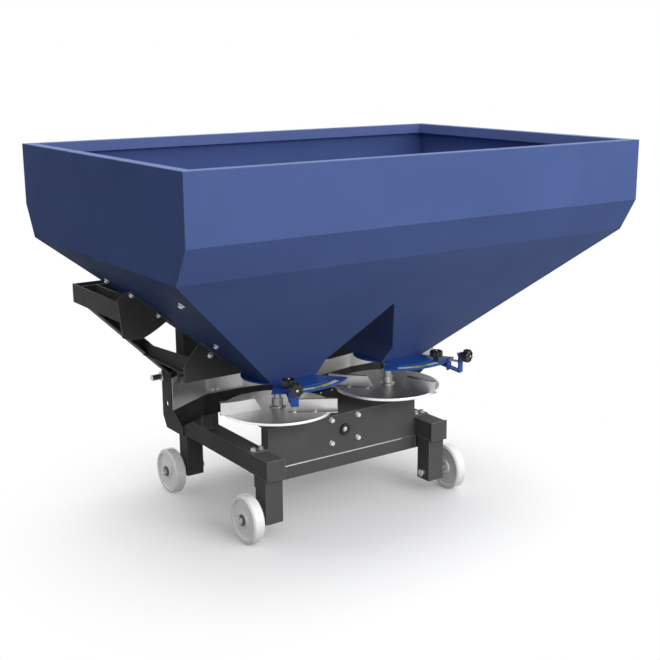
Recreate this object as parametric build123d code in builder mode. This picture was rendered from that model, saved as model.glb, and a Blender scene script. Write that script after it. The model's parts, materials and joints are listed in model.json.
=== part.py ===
from build123d import *

import math
import os

os.makedirs("parts", exist_ok=True)

# Mounted twin-disc fertiliser spreader, in millimetres.
# +X runs across the machine, +Y points to the tractor and +Z is up.
# The origin is on the floor under the middle of the hopper.

# Hopper
HOPPER_WIDTH = 2080.0
HOPPER_DEPTH = 1410.0
RIM_Z = 1565.0
BAND_Z = 1321.0
SHOULDER_Z = 1190.0
SHOULDER_DEPTH = 1260.0
FUNNEL_Z = 640.0
FUNNEL_WIDTH = 221.0
FUNNEL_DEPTH = 260.0
FUNNEL_GAP = 338.0
RIDGE_Z = 968.0
NOTCH_HEIGHT = 77.0
SHEET = 3.0
RIM_FLANGE = 45.0
RIM_LIP = 40.0

# Clearances
RUN_FIT = 0.05
SLIDE_GAP = 0.4
BOLT_GAP = 0.5

# Base frame
RAIL = 80.0
WALL = 5.0
RAIL_X = 420.0
RAIL_Z = 260.0
RAIL_REAR_Y = -206.0
CAP_THICKNESS = 8.0
CAP_OVERHANG = 3.0
LEG_Z = 68.0
LEG_Y = -155.0
POST_Y = 517.0
POST_DEPTH = 70.0

# Wheels
WHEEL_DIAMETER = 200.0
WHEEL_WIDTH = 50.0
WHEEL_X = 523.0
AXLE_DIAMETER = 20.0
AXLE_SHOULDER = 34.0
AXLE_NUT = 30.0
AXLE_NUT_HEIGHT = 15.0
HUB_DIAMETER = 62.0
WHEEL_RECESS = 7.0
TREAD = 18.0

# Upper frame and three-point hitch
UPPER_BEAM = 80.0
UPPER_Z = 883.0
SLOPE_GAP = 8.7
UPPER_WALL = 6.0
SIDE_RAIL_REAR_Y = 215.0
GUSSET_THICKNESS = 10.0
FLANGE_WIDTH = 40.0
FLANGE_THICKNESS = 8.0
HITCH_PLATE = 9.0
HITCH_DEPTH = 103.0
HITCH_TOP_Z = 523.0
HITCH_FRONT_SETBACK = 15.0
HITCH_PIN_DIAMETER = 28.0
HITCH_PIN_LENGTH = 48.0
HITCH_PIN_Z = 491.0
HITCH_HOLE_DIAMETER = 29.0
HITCH_HOLE_Z = 369.0
HITCH_HOLE_SETBACK = 56.0
COLLAR_DIAMETER = 46.0
COLLAR_LENGTH = 8.0
MAST_HEIGHT = 605.0
MAST_BORE = 25.7
MAST_EAR = 12.0
MAST_GAP = 50.0
STRUT_WIDTH = 50.0
STRUT_FLANGE = 6.0
STRUT_SETBACK = 26.0

# Hopper supports and disc shields
SUPPORT_Y = 165.0
SUPPORT_THICKNESS = 10.0
TIE_HEIGHT = 44.0
TIE_RISE = 30.0
TIE_WIDTH = 33.0
TIE_THICKNESS = 5.0
SHIELD_SHEET = 2.0
SHIELD_BOTTOM_Z = 408.0
SHIELD_FOLD_Z = 507.0
SHIELD_TOP_Z = 641.0
SHIELD_LEAN = 17.0
SHIELD_GAP = 17.0
SHIELD_BAR = 40.0
SHIELD_BAR_THICKNESS = 8.0

# Spreading discs
DISC_X = 285.0
DISC_Y = -11.0
DISC_Z = 494.0
DISC_RADIUS = 231.0
DISC_PLATE = 4.0
DISC_RIM = 12.0
HUB_RADIUS = 24.0
HUB_HEIGHT = 38.0
DRIVE_PIN_DIAMETER = 6.0
DRIVE_PIN_HEIGHT = 28.0
VANE_HEIGHT = 52.0
VANE_SHEET = 3.0
VANE_FOOT = 26.0
VANE_FLANGE = 16.0
VANE_REACH = 258.0
VANE_CUT = 30.0

# Metering
FLOOR_PLATE = 6.0
FLOOR_RADIUS = 300.0
FLOOR_START = -130.0
FLOOR_END = -54.0
COLLAR_RADIUS = 40.0
LIP_RADIUS = 48.0
LIP_THICKNESS = 10.0
SHUTTER_PLATE = 5.0
SHUTTER_RADIUS = 150.0
WINDOW_INNER = 55.0
WINDOW_OUTER = 110.0
WINDOW_START = -117.0
WINDOW_ANGLE = 44.0
LEVER_ANGLE = -69.0
LEVER_SWING = 45.0
LEVER_REACH = 367.0
LEVER_WIDTH = 30.0
LEVER_THICKNESS = 8.0
LEVER_DROP = 24.0
LEVER_RISE = 82.0
STUD_DIAMETER = 12.0
STUD_RADIUS = 246.0
TAB_GAP = 4.0
ROD_DIAMETER = 8.0
KNOB_DIAMETER = 56.0
KNOB_HEIGHT = 26.0
KNOB_STEM = 20.0
KNOB_LIFT = 14.0
GRIP_LIFT = 16.0
KNOB_BEVEL = 5.0
KNOB_RECESS = 4.0
KNOB_LOBES = 8

# Drive
DRIVE_Z = 360.0
SHAFT_DIAMETER = 30.0
INPUT_DIAMETER = 35.0
INPUT_REACH = 300.0
SPLINE_LENGTH = 90.0
SPLINE_COUNT = 6
SPLINE_DEPTH = 3.0
GEAR_MODULE = 4.5
GEAR_FACE = 15.0
SIDE_TEETH = 16
INPUT_TEETH = 20
CROSS_TEETH = 15
ADDENDUM = 0.8
DEDENDUM = 1.1
BACKLASH = 0.14
PRESSURE_ANGLE = 20.0
GEAR_HUB_RADIUS = 23.0
BOX_WALL = 12.0
CENTRE_BOX_WIDTH = 152.0
CENTRE_BOX_HEIGHT = 124.0
CENTRE_BOX_FRONT = 62.0
COVER_WIDTH = 170.0
COVER_PLATE = 12.0
COVER_RING_RADIUS = 24.0
COVER_BOLTS_X = 136.0
COVER_BOLTS_Z = 102.0
BOX_BOLT = 12.0
SIDE_BOX_RADIUS = 56.0
SIDE_BOX_REACH = 62.0
SIDE_BOX_Z = 312.0
BOSS_RADIUS = 32.0
BOSS_LENGTH = 16.0

# Rear cross beam
BEAM_WEB_Y = -90.0
BEAM_SHEET = 6.0
BEAM_TOP_Z = 430.0
BEAM_BOTTOM_Z = 200.0
BEAM_DEPTH = 160.0
BEAM_LIP = 58.0
BEAM_LIP_THICKNESS = 8.0
BEAM_EAR = 44.0
BEAM_EAR_WIDTH = 78.0
BEAM_END_DEPTH = 56.0

# Worked out from the values above
half_width = HOPPER_WIDTH / 2
half_depth = HOPPER_DEPTH / 2
funnel_inner_x = FUNNEL_GAP / 2
funnel_outer_x = funnel_inner_x + FUNNEL_WIDTH
notch_z = FUNNEL_Z + NOTCH_HEIGHT
wall_top_z = RIM_Z - SHEET
post_rear_y = POST_Y - POST_DEPTH / 2
post_front_y = POST_Y + POST_DEPTH / 2
rail_inner_x = RAIL_X - RAIL / 2
rail_outer_x = RAIL_X + RAIL / 2
rail_top_z = RAIL_Z + RAIL
upper_rear_y = half_depth - UPPER_BEAM
upper_top_z = UPPER_Z + UPPER_BEAM
hitch_outer_x = rail_outer_x + HITCH_PLATE
floor_bottom_z = FUNNEL_Z - FLOOR_PLATE
shutter_top_z = floor_bottom_z - SLIDE_GAP
shutter_bottom_z = shutter_top_z - SHUTTER_PLATE
web_front_y = BEAM_WEB_Y + BEAM_SHEET
beam_under_z = BEAM_TOP_Z - BEAM_SHEET
disc_under_z = DISC_Z - DISC_PLATE
shaft_bore = SHAFT_DIAMETER / 2 + RUN_FIT


def across(y):
    """Upright plane across the machine at y, with local axes X and Z."""
    return Plane.XZ.offset(-y)


slope_rise = (SHOULDER_Z - FUNNEL_Z) / (half_width - funnel_outer_x)
upper_half = funnel_outer_x + (upper_top_z + SLOPE_GAP - FUNNEL_Z) / slope_rise + UPPER_BEAM


def end_slope(x):
    """Height of the outer face of the right end's sloping floor at x."""
    return FUNNEL_Z + (x - funnel_outer_x) * slope_rise


def polar(radius, angle):
    """Point at a radius and angle about the right disc's axis."""
    turn = math.radians(angle)
    return (DISC_X + radius * math.cos(turn), DISC_Y + radius * math.sin(turn))


def save(piece, name):
    piece.part.label = name
    export_step(piece.part, f"parts/{name}.step")


def save_both(piece, name):
    """Write the right-hand piece, and its mirror image as the left-hand one."""
    save(piece, f"{name}_right")
    with BuildPart() as left:
        mirror(piece.part, about=Plane.YZ)
    save(left, f"{name}_left")


# Hopper walls: the long walls' profile lies in YZ and the ends' and divider's in XZ.
# Both profiles run past the top and the funnel mouths, and are trimmed there.
OVERRUN = 50.0


def long_profile():
    lean = (SHOULDER_DEPTH - FUNNEL_DEPTH) / 2 / (SHOULDER_Z - FUNNEL_Z)
    right = [
        (half_depth, RIM_Z + OVERRUN),
        (half_depth, BAND_Z),
        (SHOULDER_DEPTH / 2, SHOULDER_Z),
        (FUNNEL_DEPTH / 2 - OVERRUN * lean, FUNNEL_Z - OVERRUN),
    ]
    return right + [(-y, z) for y, z in reversed(right)]


def cross_profile(overrun):
    lean = (half_width - funnel_outer_x) / (SHOULDER_Z - FUNNEL_Z)
    right = [
        (half_width, wall_top_z + overrun),
        (half_width, SHOULDER_Z),
        (funnel_outer_x - overrun * lean, FUNNEL_Z - overrun),
        (funnel_inner_x, FUNNEL_Z - overrun),
        (funnel_inner_x, notch_z),
    ]
    return right + [(0, RIDGE_Z)] + [(-x, z) for x, z in reversed(right)]


with BuildPart() as long_walls:
    with BuildSketch(Plane.YZ):
        with BuildLine():
            Polyline(*long_profile(), close=True)
        make_face()
        offset(amount=-SHEET, kind=Kind.INTERSECTION, mode=Mode.SUBTRACT)
    extrude(amount=half_width, both=True)
    with BuildSketch(Plane.XZ):
        with BuildLine():
            Polyline(*cross_profile(0), close=True)
        make_face()
    extrude(amount=HOPPER_DEPTH, both=True, mode=Mode.INTERSECT)

with BuildPart() as hopper_rear_panel:
    add(long_walls.part.solids().sort_by(Axis.Y)[0])
save(hopper_rear_panel, "hopper_rear_panel")

with BuildPart() as hopper_front_panel:
    add(long_walls.part.solids().sort_by(Axis.Y)[-1])
save(hopper_front_panel, "hopper_front_panel")

with BuildPart() as cross_walls:
    with BuildSketch(Plane.XZ):
        with BuildLine():
            Polyline(*cross_profile(OVERRUN), close=True)
        make_face()
        offset(amount=-SHEET, kind=Kind.INTERSECTION, mode=Mode.SUBTRACT)
    extrude(amount=HOPPER_DEPTH, both=True)
    with BuildSketch(Plane.YZ):
        with BuildLine():
            Polyline(*long_profile(), close=True)
        make_face()
        offset(amount=-SHEET, kind=Kind.INTERSECTION, mode=Mode.REPLACE)
        with Locations((0, (wall_top_z + FUNNEL_Z) / 2)):
            Rectangle(HOPPER_DEPTH, wall_top_z - FUNNEL_Z, mode=Mode.INTERSECT)
    extrude(amount=HOPPER_WIDTH, both=True, mode=Mode.INTERSECT)

for name, order in (("hopper_left_end", 0), ("hopper_divider", 1), ("hopper_right_end", 2)):
    with BuildPart() as cross_wall:
        add(cross_walls.part.solids().sort_by(Axis.X)[order])
    save(cross_wall, name)

with BuildPart() as hopper_rim:
    opening = (HOPPER_WIDTH - 2 * RIM_FLANGE, HOPPER_DEPTH - 2 * RIM_FLANGE)
    with BuildSketch(Plane.XY.offset(wall_top_z)):
        Rectangle(HOPPER_WIDTH, HOPPER_DEPTH)
        Rectangle(*opening, mode=Mode.SUBTRACT)
    extrude(amount=SHEET)
    with BuildSketch(Plane.XY.offset(wall_top_z)):
        Rectangle(opening[0] + 2 * SHEET, opening[1] + 2 * SHEET)
        Rectangle(*opening, mode=Mode.SUBTRACT)
    extrude(amount=-RIM_LIP)
save(hopper_rim, "hopper_rim")


# Outlet floor: a plate under the funnel mouth, swept out to a curved edge about the disc's axis.
def window_sketch():
    """Outlet window, a sector between two radii."""
    with BuildSketch(mode=Mode.PRIVATE) as window:
        with BuildLine():
            start = polar(WINDOW_INNER, WINDOW_START)
            Line(start, polar(WINDOW_OUTER, WINDOW_START))
            CenterArc((DISC_X, DISC_Y), WINDOW_OUTER, WINDOW_START, WINDOW_ANGLE)
            end = WINDOW_START + WINDOW_ANGLE
            Line(polar(WINDOW_OUTER, end), polar(WINDOW_INNER, end))
            CenterArc((DISC_X, DISC_Y), WINDOW_INNER, end, -WINDOW_ANGLE)
        make_face()
    return window.sketch


outlet_window = window_sketch()
with BuildPart() as outlet_floor:
    with BuildSketch(Plane.XY.offset(floor_bottom_z)):
        with Locations(((funnel_inner_x + funnel_outer_x) / 2, 0)):
            Rectangle(FUNNEL_WIDTH, FUNNEL_DEPTH)
        with BuildLine():
            CenterArc((DISC_X, DISC_Y), FLOOR_RADIUS, FLOOR_START, FLOOR_END - FLOOR_START)
            Line(polar(FLOOR_RADIUS, FLOOR_END), (DISC_X, DISC_Y))
            Line((DISC_X, DISC_Y), polar(FLOOR_RADIUS, FLOOR_START))
        make_face()
        add(outlet_window, mode=Mode.SUBTRACT)
        with Locations((DISC_X, DISC_Y)):
            slot_start = LEVER_ANGLE - LEVER_SWING
            slot_arc = CenterArc((0, 0), STUD_RADIUS, slot_start, LEVER_SWING, mode=Mode.PRIVATE)
            SlotArc(slot_arc, STUD_DIAMETER + 2 * BOLT_GAP, mode=Mode.SUBTRACT)
    extrude(amount=FLOOR_PLATE)
    with BuildSketch(Plane.XY.offset(floor_bottom_z)):
        with Locations((DISC_X, DISC_Y)):
            Circle(COLLAR_RADIUS)
    extrude(amount=-(SHUTTER_PLATE + 2 * SLIDE_GAP))
    with BuildSketch(Plane.XY.offset(shutter_bottom_z - SLIDE_GAP)):
        with Locations((DISC_X, DISC_Y)):
            Circle(LIP_RADIUS)
    extrude(amount=-LIP_THICKNESS)
    with BuildSketch(Plane.XY.offset(FUNNEL_Z)):
        with Locations((DISC_X, DISC_Y)):
            Circle(SHAFT_DIAMETER / 2 + 2)
    extrude(amount=-2 * (FLOOR_PLATE + SHUTTER_PLATE + LIP_THICKNESS), mode=Mode.SUBTRACT)
save_both(outlet_floor, "outlet_floor")

# Dosing shutter: a ring plate under the floor with its lever, which reaches out past the floor's edge,
# drops, and turns up to carry the grip. A tab and a rod brace the upright.
lever_plane = Plane(
    origin=(DISC_X, DISC_Y, 0),
    x_dir=(math.cos(math.radians(LEVER_ANGLE)), math.sin(math.radians(LEVER_ANGLE)), 0),
    z_dir=(math.sin(math.radians(LEVER_ANGLE)), -math.cos(math.radians(LEVER_ANGLE)), 0),
)
lever_mid_z = shutter_top_z - LEVER_THICKNESS / 2
lever_low_z = lever_mid_z - LEVER_DROP
tab_start = FLOOR_RADIUS + TAB_GAP
tab_end = tab_start + LEVER_THICKNESS
upright_start = LEVER_REACH - LEVER_THICKNESS
rod_z = FUNNEL_Z + ROD_DIAMETER
grip_z = lever_low_z + LEVER_RISE - KNOB_STEM / 2

with BuildPart() as dosing_shutter:
    with BuildSketch(Plane.XY.offset(shutter_bottom_z)):
        with Locations((DISC_X, DISC_Y)):
            Circle(SHUTTER_RADIUS)
            Circle(COLLAR_RADIUS + 2 * RUN_FIT, mode=Mode.SUBTRACT)
        add(outlet_window, mode=Mode.SUBTRACT)
    extrude(amount=SHUTTER_PLATE)
    with BuildSketch(lever_plane):
        with BuildLine():
            half = LEVER_THICKNESS / 2
            Polyline(
                (SHUTTER_RADIUS - LEVER_WIDTH, lever_mid_z + half),
                (STUD_RADIUS + LEVER_WIDTH / 2, lever_mid_z + half),
                (upright_start, lever_low_z + half),
                (upright_start, lever_low_z + LEVER_RISE),
                (LEVER_REACH, lever_low_z + LEVER_RISE),
                (LEVER_REACH, lever_low_z - half),
                (STUD_RADIUS + LEVER_WIDTH / 2, lever_mid_z - half),
                (SHUTTER_RADIUS - LEVER_WIDTH, lever_mid_z - half),
                close=True,
            )
        make_face()
        with BuildLine():
            Polyline(
                (tab_start, lever_low_z),
                (tab_end, lever_low_z),
                (tab_end, rod_z + ROD_DIAMETER),
                (tab_start, rod_z + ROD_DIAMETER),
                close=True,
            )
        make_face()
    extrude(amount=LEVER_WIDTH / 2, both=True)
    rod_foot = lever_plane.from_local_coords((tab_end, rod_z, 0))
    with BuildSketch(Plane(origin=rod_foot, z_dir=lever_plane.x_dir)):
        Circle(ROD_DIAMETER / 2)
    extrude(amount=upright_start - tab_end)
    with BuildSketch(Plane.XY.offset(shutter_top_z)):
        with Locations(polar(STUD_RADIUS, LEVER_ANGLE)):
            Circle(STUD_DIAMETER / 2 + RUN_FIT)
    extrude(amount=-2 * LEVER_THICKNESS, mode=Mode.SUBTRACT)
save_both(dosing_shutter, "dosing_shutter")


def add_knob(foot, lift):
    """Hand knob on a stem: a bevelled head with finger hollows round it and a ring-shaped recess."""
    hollow = KNOB_DIAMETER / 9
    with BuildSketch(foot) as stem:
        Circle(KNOB_STEM / 2)
    extrude(stem.sketch, amount=lift)
    with BuildSketch(foot.offset(lift)) as head:
        Circle(KNOB_DIAMETER / 2)
        with PolarLocations(KNOB_DIAMETER / 2 + hollow / 3, KNOB_LOBES):
            Circle(hollow, mode=Mode.SUBTRACT)
    extrude(head.sketch, amount=KNOB_HEIGHT)


def recess_knob(face):
    with BuildSketch(face) as ring:
        Circle(KNOB_DIAMETER / 3)
        Circle(KNOB_DIAMETER / 8, mode=Mode.SUBTRACT)
    extrude(ring.sketch, amount=-KNOB_RECESS, mode=Mode.SUBTRACT)


knob_foot = Plane(origin=(*polar(STUD_RADIUS, LEVER_ANGLE), FUNNEL_Z + SLIDE_GAP))
with BuildPart() as locking_knob:
    add_knob(knob_foot, KNOB_LIFT)
    chamfer(faces().sort_by(Axis.Z)[-1].edges(), length=KNOB_BEVEL)
    recess_knob(knob_foot.offset(KNOB_LIFT + KNOB_HEIGHT))
    with BuildSketch(knob_foot):
        Circle(STUD_DIAMETER / 2)
    extrude(amount=-(FUNNEL_Z + SLIDE_GAP - lever_mid_z))
save_both(locking_knob, "locking_knob")

grip_foot = Plane(origin=lever_plane.from_local_coords((LEVER_REACH, grip_z, 0)), z_dir=lever_plane.x_dir)
with BuildPart() as lever_grip:
    add_knob(grip_foot, GRIP_LIFT)
    outward = Axis(origin=(0, 0, 0), direction=lever_plane.x_dir)
    chamfer(faces().sort_by(outward)[-1].edges(), length=KNOB_BEVEL)
    recess_knob(grip_foot.offset(GRIP_LIFT + KNOB_HEIGHT))
save_both(lever_grip, "lever_grip")

# Spreading disc with its turned-down rim, hub with drive pins, shaft and agitator.
disc_plane = Plane(origin=(DISC_X, DISC_Y, 0), x_dir=(1, 0, 0), z_dir=(0, -1, 0))
disc_axis = Axis((DISC_X, DISC_Y, 0), (0, 0, 1))

with BuildPart() as spreading_disc:
    with BuildSketch(disc_plane):
        with BuildLine():
            Polyline(
                (shaft_bore, disc_under_z),
                (shaft_bore, DISC_Z),
                (DISC_RADIUS, DISC_Z),
                (DISC_RADIUS, DISC_Z - DISC_RIM),
                (DISC_RADIUS - DISC_PLATE, DISC_Z - DISC_RIM),
                (DISC_RADIUS - DISC_PLATE, disc_under_z),
                close=True,
            )
        make_face()
    revolve(axis=disc_axis)
    fillet(edges().filter_by(GeomType.CIRCLE).group_by(SortBy.RADIUS)[-1].sort_by(Axis.Z)[-1], DISC_PLATE / 2)
save_both(spreading_disc, "spreading_disc")

with BuildPart() as disc_hub:
    with BuildSketch(Plane(origin=(DISC_X, DISC_Y, DISC_Z))):
        Circle(HUB_RADIUS)
        Circle(shaft_bore, mode=Mode.SUBTRACT)
    extrude(amount=HUB_HEIGHT)
    chamfer(edges().filter_by(GeomType.CIRCLE).group_by(SortBy.RADIUS)[-1].sort_by(Axis.Z)[-1], 2)
    with BuildSketch(Plane(origin=(DISC_X, DISC_Y, DISC_Z + HUB_HEIGHT))):
        with PolarLocations((SHAFT_DIAMETER / 2 + HUB_RADIUS) / 2, 3):
            Circle(DRIVE_PIN_DIAMETER / 2)
    extrude(amount=DRIVE_PIN_HEIGHT)
save_both(disc_hub, "disc_hub")

agitator_z = FUNNEL_Z + 24
agitator_height = 26.0
agitator_reach = 68.0
finger_radius = 5.0
finger_rise = 46.0
shaft_top_z = agitator_z + agitator_height + 12
shaft_foot_z = SIDE_BOX_Z - 7
flange_radius = 36.0

with BuildPart() as disc_shaft:
    with BuildSketch(disc_plane):
        with BuildLine():
            Polyline(
                (0, shaft_foot_z),
                (SHAFT_DIAMETER / 2, shaft_foot_z),
                (SHAFT_DIAMETER / 2, disc_under_z - DISC_RIM),
                (flange_radius, disc_under_z - DISC_RIM),
                (flange_radius, disc_under_z),
                (SHAFT_DIAMETER / 2, disc_under_z),
                (SHAFT_DIAMETER / 2, shaft_top_z),
                (0, shaft_top_z),
                close=True,
            )
        make_face()
    revolve(axis=disc_axis)
save_both(disc_shaft, "disc_shaft")

with BuildPart() as agitator:
    with BuildSketch(Plane(origin=(DISC_X, DISC_Y, agitator_z))):
        Circle(HUB_RADIUS)
    extrude(amount=agitator_height)
    finger_z = agitator_z + agitator_height / 2
    for heading in (0, 180):
        outward = Vector(1, 0, 0).rotate(Axis.Z, heading)
        with BuildSketch(Plane(origin=(DISC_X, DISC_Y, finger_z), z_dir=outward)):
            Circle(finger_radius)
        extrude(amount=agitator_reach)
        tip = Vector(DISC_X, DISC_Y, finger_z) + outward * (agitator_reach - finger_radius)
        with BuildSketch(Plane(origin=tip)):
            Circle(finger_radius)
        extrude(amount=finger_rise)
    with BuildSketch(Plane(origin=(DISC_X, DISC_Y, agitator_z))):
        Circle(shaft_bore)
    extrude(amount=agitator_height, mode=Mode.SUBTRACT)
save_both(agitator, "agitator")


# Throwing vanes: one straight pitched vane and one curved radial vane on each disc.
# Each is a bent strip: a foot on the disc, an upright web and a top flange.
PITCHED_INNER = 95.0
PITCHED_LEAD = 45.0
RADIAL_INNER = 80.0
RADIAL_BEND = 520.0
RADIAL_INNER_LAG = 8.0
RADIAL_OUTER_LAG = 3.0
VANE_SPACING = 137.0
RIGHT_VANE_PHASE = -72.0
LEFT_VANE_PHASE = 173.0


def vane_place(radius, angle, side):
    """Point on a disc's top at a radius and angle about its centre."""
    turn = math.radians(angle)
    return Vector(side * DISC_X + radius * math.cos(turn), DISC_Y + radius * math.sin(turn), DISC_Z)


def vane_section(start, along, side, flange):
    """Foot, web and flange across the vane's line. Flange 1 is on the foot's side and -1 on the other."""
    plane = Plane(origin=start, x_dir=along.cross(Vector(0, 0, 1)) * -side, z_dir=along)
    up = 1 if plane.y_dir.Z > 0 else -1
    edge = VANE_SHEET if flange < 0 else 0
    tip = -VANE_FLANGE if flange < 0 else VANE_FOOT
    with BuildSketch(plane) as section:
        with BuildLine():
            Polyline(
                (0, 0),
                (VANE_FOOT, 0),
                (VANE_FOOT, up * VANE_SHEET),
                (VANE_SHEET, up * VANE_SHEET),
                (VANE_SHEET, up * (VANE_HEIGHT - VANE_SHEET)),
                (VANE_SHEET, up * VANE_HEIGHT),
                (0, up * VANE_HEIGHT),
                close=True,
            )
        make_face()
        with BuildLine():
            Polyline(
                (edge, up * (VANE_HEIGHT - VANE_SHEET)),
                (tip, up * (VANE_HEIGHT - VANE_SHEET)),
                (tip, up * VANE_HEIGHT),
                (edge, up * VANE_HEIGHT),
                close=True,
            )
        make_face()
    return section.sketch


def slant_inner_end(start, along):
    with BuildSketch(Plane(origin=start, x_dir=along, z_dir=along.cross(Vector(0, 0, 1)))) as slant:
        with BuildLine():
            Polyline((0, VANE_SHEET), (0, VANE_HEIGHT), (VANE_CUT, VANE_HEIGHT), close=True)
        make_face()
    extrude(slant.sketch, amount=VANE_FOOT, both=True, mode=Mode.SUBTRACT)


def add_pitched_vane(tip_angle, side):
    start = vane_place(PITCHED_INNER, tip_angle + side * PITCHED_LEAD, side)
    line = vane_place(VANE_REACH, tip_angle, side) - start
    extrude(vane_section(start, line.normalized(), side, -1), amount=line.length)
    slant_inner_end(start, line.normalized())


def add_radial_vane(angle, side):
    start = vane_place(RADIAL_INNER, angle - side * RADIAL_INNER_LAG, side)
    line = vane_place(VANE_REACH, angle - side * RADIAL_OUTER_LAG, side) - start
    half_turn = math.asin(line.length / 2 / RADIAL_BEND)
    along = line.normalized().rotate(Axis.Z, -side * math.degrees(half_turn))
    centre = start + along.rotate(Axis.Z, 90 * side) * RADIAL_BEND
    section = vane_section(start, along, side, 1)
    revolve(section, axis=Axis(centre, (0, 0, side)), revolution_arc=2 * math.degrees(half_turn))
    slant_inner_end(start, along)


for side_name, side, phase in (("right", 1, RIGHT_VANE_PHASE), ("left", -1, LEFT_VANE_PHASE)):
    with BuildPart() as throwing_vanes:
        add_pitched_vane(phase - side * VANE_SPACING, side)
        add_radial_vane(phase, side)
    save(throwing_vanes, f"throwing_vanes_{side_name}")


# Bevel gears: straight teeth that all run to the point where the two axes meet.
def gear_outline(teeth, mate, phase):
    """Tooth corners at the large end, its height above the meeting point, and the cone's half angle."""
    cone = math.atan2(teeth, mate)
    pitch_radius = GEAR_MODULE * teeth / 2
    height = pitch_radius / math.tan(cone)
    cone_length = pitch_radius / math.sin(cone)
    tip_radius = height * math.tan(cone + math.atan(ADDENDUM * GEAR_MODULE / cone_length))
    root_radius = height * math.tan(cone - math.atan(DEDENDUM * GEAR_MODULE / cone_length))
    lean = math.tan(math.radians(PRESSURE_ANGLE))
    half = math.pi * GEAR_MODULE / 4 * (1 - BACKLASH)
    rise = ADDENDUM * GEAR_MODULE
    drop = DEDENDUM * GEAR_MODULE
    tip_half = (half - rise * lean) / (pitch_radius + rise * math.cos(cone))
    root_half = (half + drop * lean) / (pitch_radius - drop * math.cos(cone))
    corners = []
    for tooth in range(teeth):
        middle = 2 * math.pi * (tooth + phase) / teeth
        for radius, turn in (
            (root_radius, middle - root_half),
            (tip_radius, middle - tip_half),
            (tip_radius, middle + tip_half),
            (root_radius, middle + root_half),
        ):
            corners.append((radius * math.cos(turn), radius * math.sin(turn)))
    return corners, height, cone


def add_gear(axes, teeth, mate, phase, hub_length, bore):
    """Add a bevel gear. The plane's origin is the meeting point and its normal the gear's axis.
    Its x is the mesh line: phase 0 puts a tooth there, and 0.5 a gap."""
    corners, height, cone = gear_outline(teeth, mate, phase)
    small_height = height - GEAR_FACE * math.cos(cone)
    shrink = small_height / height
    with BuildSketch(axes.offset(height)) as large_end:
        with BuildLine():
            Polyline(*corners, close=True)
        make_face()
    with BuildSketch(axes.offset(small_height)) as small_end:
        with BuildLine():
            Polyline(*[(x * shrink, y * shrink) for x, y in corners], close=True)
        make_face()
    loft(sections=[large_end.sketch.face(), small_end.sketch.face()], ruled=True)
    with BuildSketch(axes.offset(height)) as hub:
        Circle(GEAR_HUB_RADIUS)
    extrude(hub.sketch, amount=hub_length)
    with BuildSketch(axes.offset(small_height)) as way_through:
        Circle(bore)
    extrude(way_through.sketch, amount=height - small_height + hub_length, mode=Mode.SUBTRACT)


side_meeting = (DISC_X, DISC_Y, DRIVE_Z)
centre_meeting = (0, DISC_Y, DRIVE_Z)
side_height = GEAR_MODULE * SIDE_TEETH / 2
cross_height = GEAR_MODULE * INPUT_TEETH / 2
input_height = GEAR_MODULE * CROSS_TEETH / 2
disc_gear_hub = beam_under_z - BOX_WALL - 2 - (DRIVE_Z + side_height)
side_wall_x = DISC_X - SIDE_BOX_REACH
side_pinion_hub = DISC_X - side_height - side_wall_x - BOX_WALL - 2
centre_wall_x = CENTRE_BOX_WIDTH / 2 - BOX_WALL
cross_pinion_hub = centre_wall_x - 2 - cross_height
input_hub = CENTRE_BOX_FRONT - BOX_WALL - 2 - (DISC_Y + input_height)

with BuildPart() as disc_gear:
    gear_plane = Plane(origin=side_meeting, x_dir=(-1, 0, 0), z_dir=(0, 0, 1))
    add_gear(gear_plane, SIDE_TEETH, SIDE_TEETH, 0, disc_gear_hub, shaft_bore)
save_both(disc_gear, "disc_gear")

with BuildPart() as side_pinions:
    pinion_plane = Plane(origin=side_meeting, x_dir=(0, 0, 1), z_dir=(-1, 0, 0))
    add_gear(pinion_plane, SIDE_TEETH, SIDE_TEETH, 0.5, side_pinion_hub, shaft_bore)
    mirror(about=Plane.YZ)
save(side_pinions, "side_pinions")

with BuildPart() as cross_pinion:
    cross_plane = Plane(origin=centre_meeting, x_dir=(0, 1, 0), z_dir=(1, 0, 0))
    add_gear(cross_plane, CROSS_TEETH, INPUT_TEETH, 0.5, cross_pinion_hub, shaft_bore)
save(cross_pinion, "cross_pinion")

with BuildPart() as input_gear:
    input_plane = Plane(origin=centre_meeting, x_dir=(1, 0, 0), z_dir=(0, 1, 0))
    add_gear(input_plane, INPUT_TEETH, CROSS_TEETH, 0, input_hub, INPUT_DIAMETER / 2 + RUN_FIT)
save(input_gear, "input_gear")

# Shafts
cross_shaft_end = DISC_X - side_height + GEAR_FACE * math.cos(math.pi / 4) + 1
with BuildPart() as cross_shaft:
    with BuildSketch(Plane.YZ):
        with Locations((DISC_Y, DRIVE_Z)):
            Circle(SHAFT_DIAMETER / 2)
    extrude(amount=cross_shaft_end, both=True)
save(cross_shaft, "cross_shaft")

input_start_y = DISC_Y + SHAFT_DIAMETER / 2 + 4
with BuildPart() as input_shaft:
    with BuildSketch(across(INPUT_REACH)):
        with Locations((0, DRIVE_Z)):
            Circle(INPUT_DIAMETER / 2)
    extrude(amount=INPUT_REACH - input_start_y)
    chamfer(faces().sort_by(Axis.Y)[-1].edges(), 2)
    with BuildSketch(across(INPUT_REACH)):
        with Locations((0, DRIVE_Z)):
            with PolarLocations(INPUT_DIAMETER / 2, SPLINE_COUNT):
                Rectangle(2 * SPLINE_DEPTH, INPUT_DIAMETER / 4)
    extrude(amount=SPLINE_LENGTH, mode=Mode.SUBTRACT)
save(input_shaft, "input_shaft")

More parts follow.
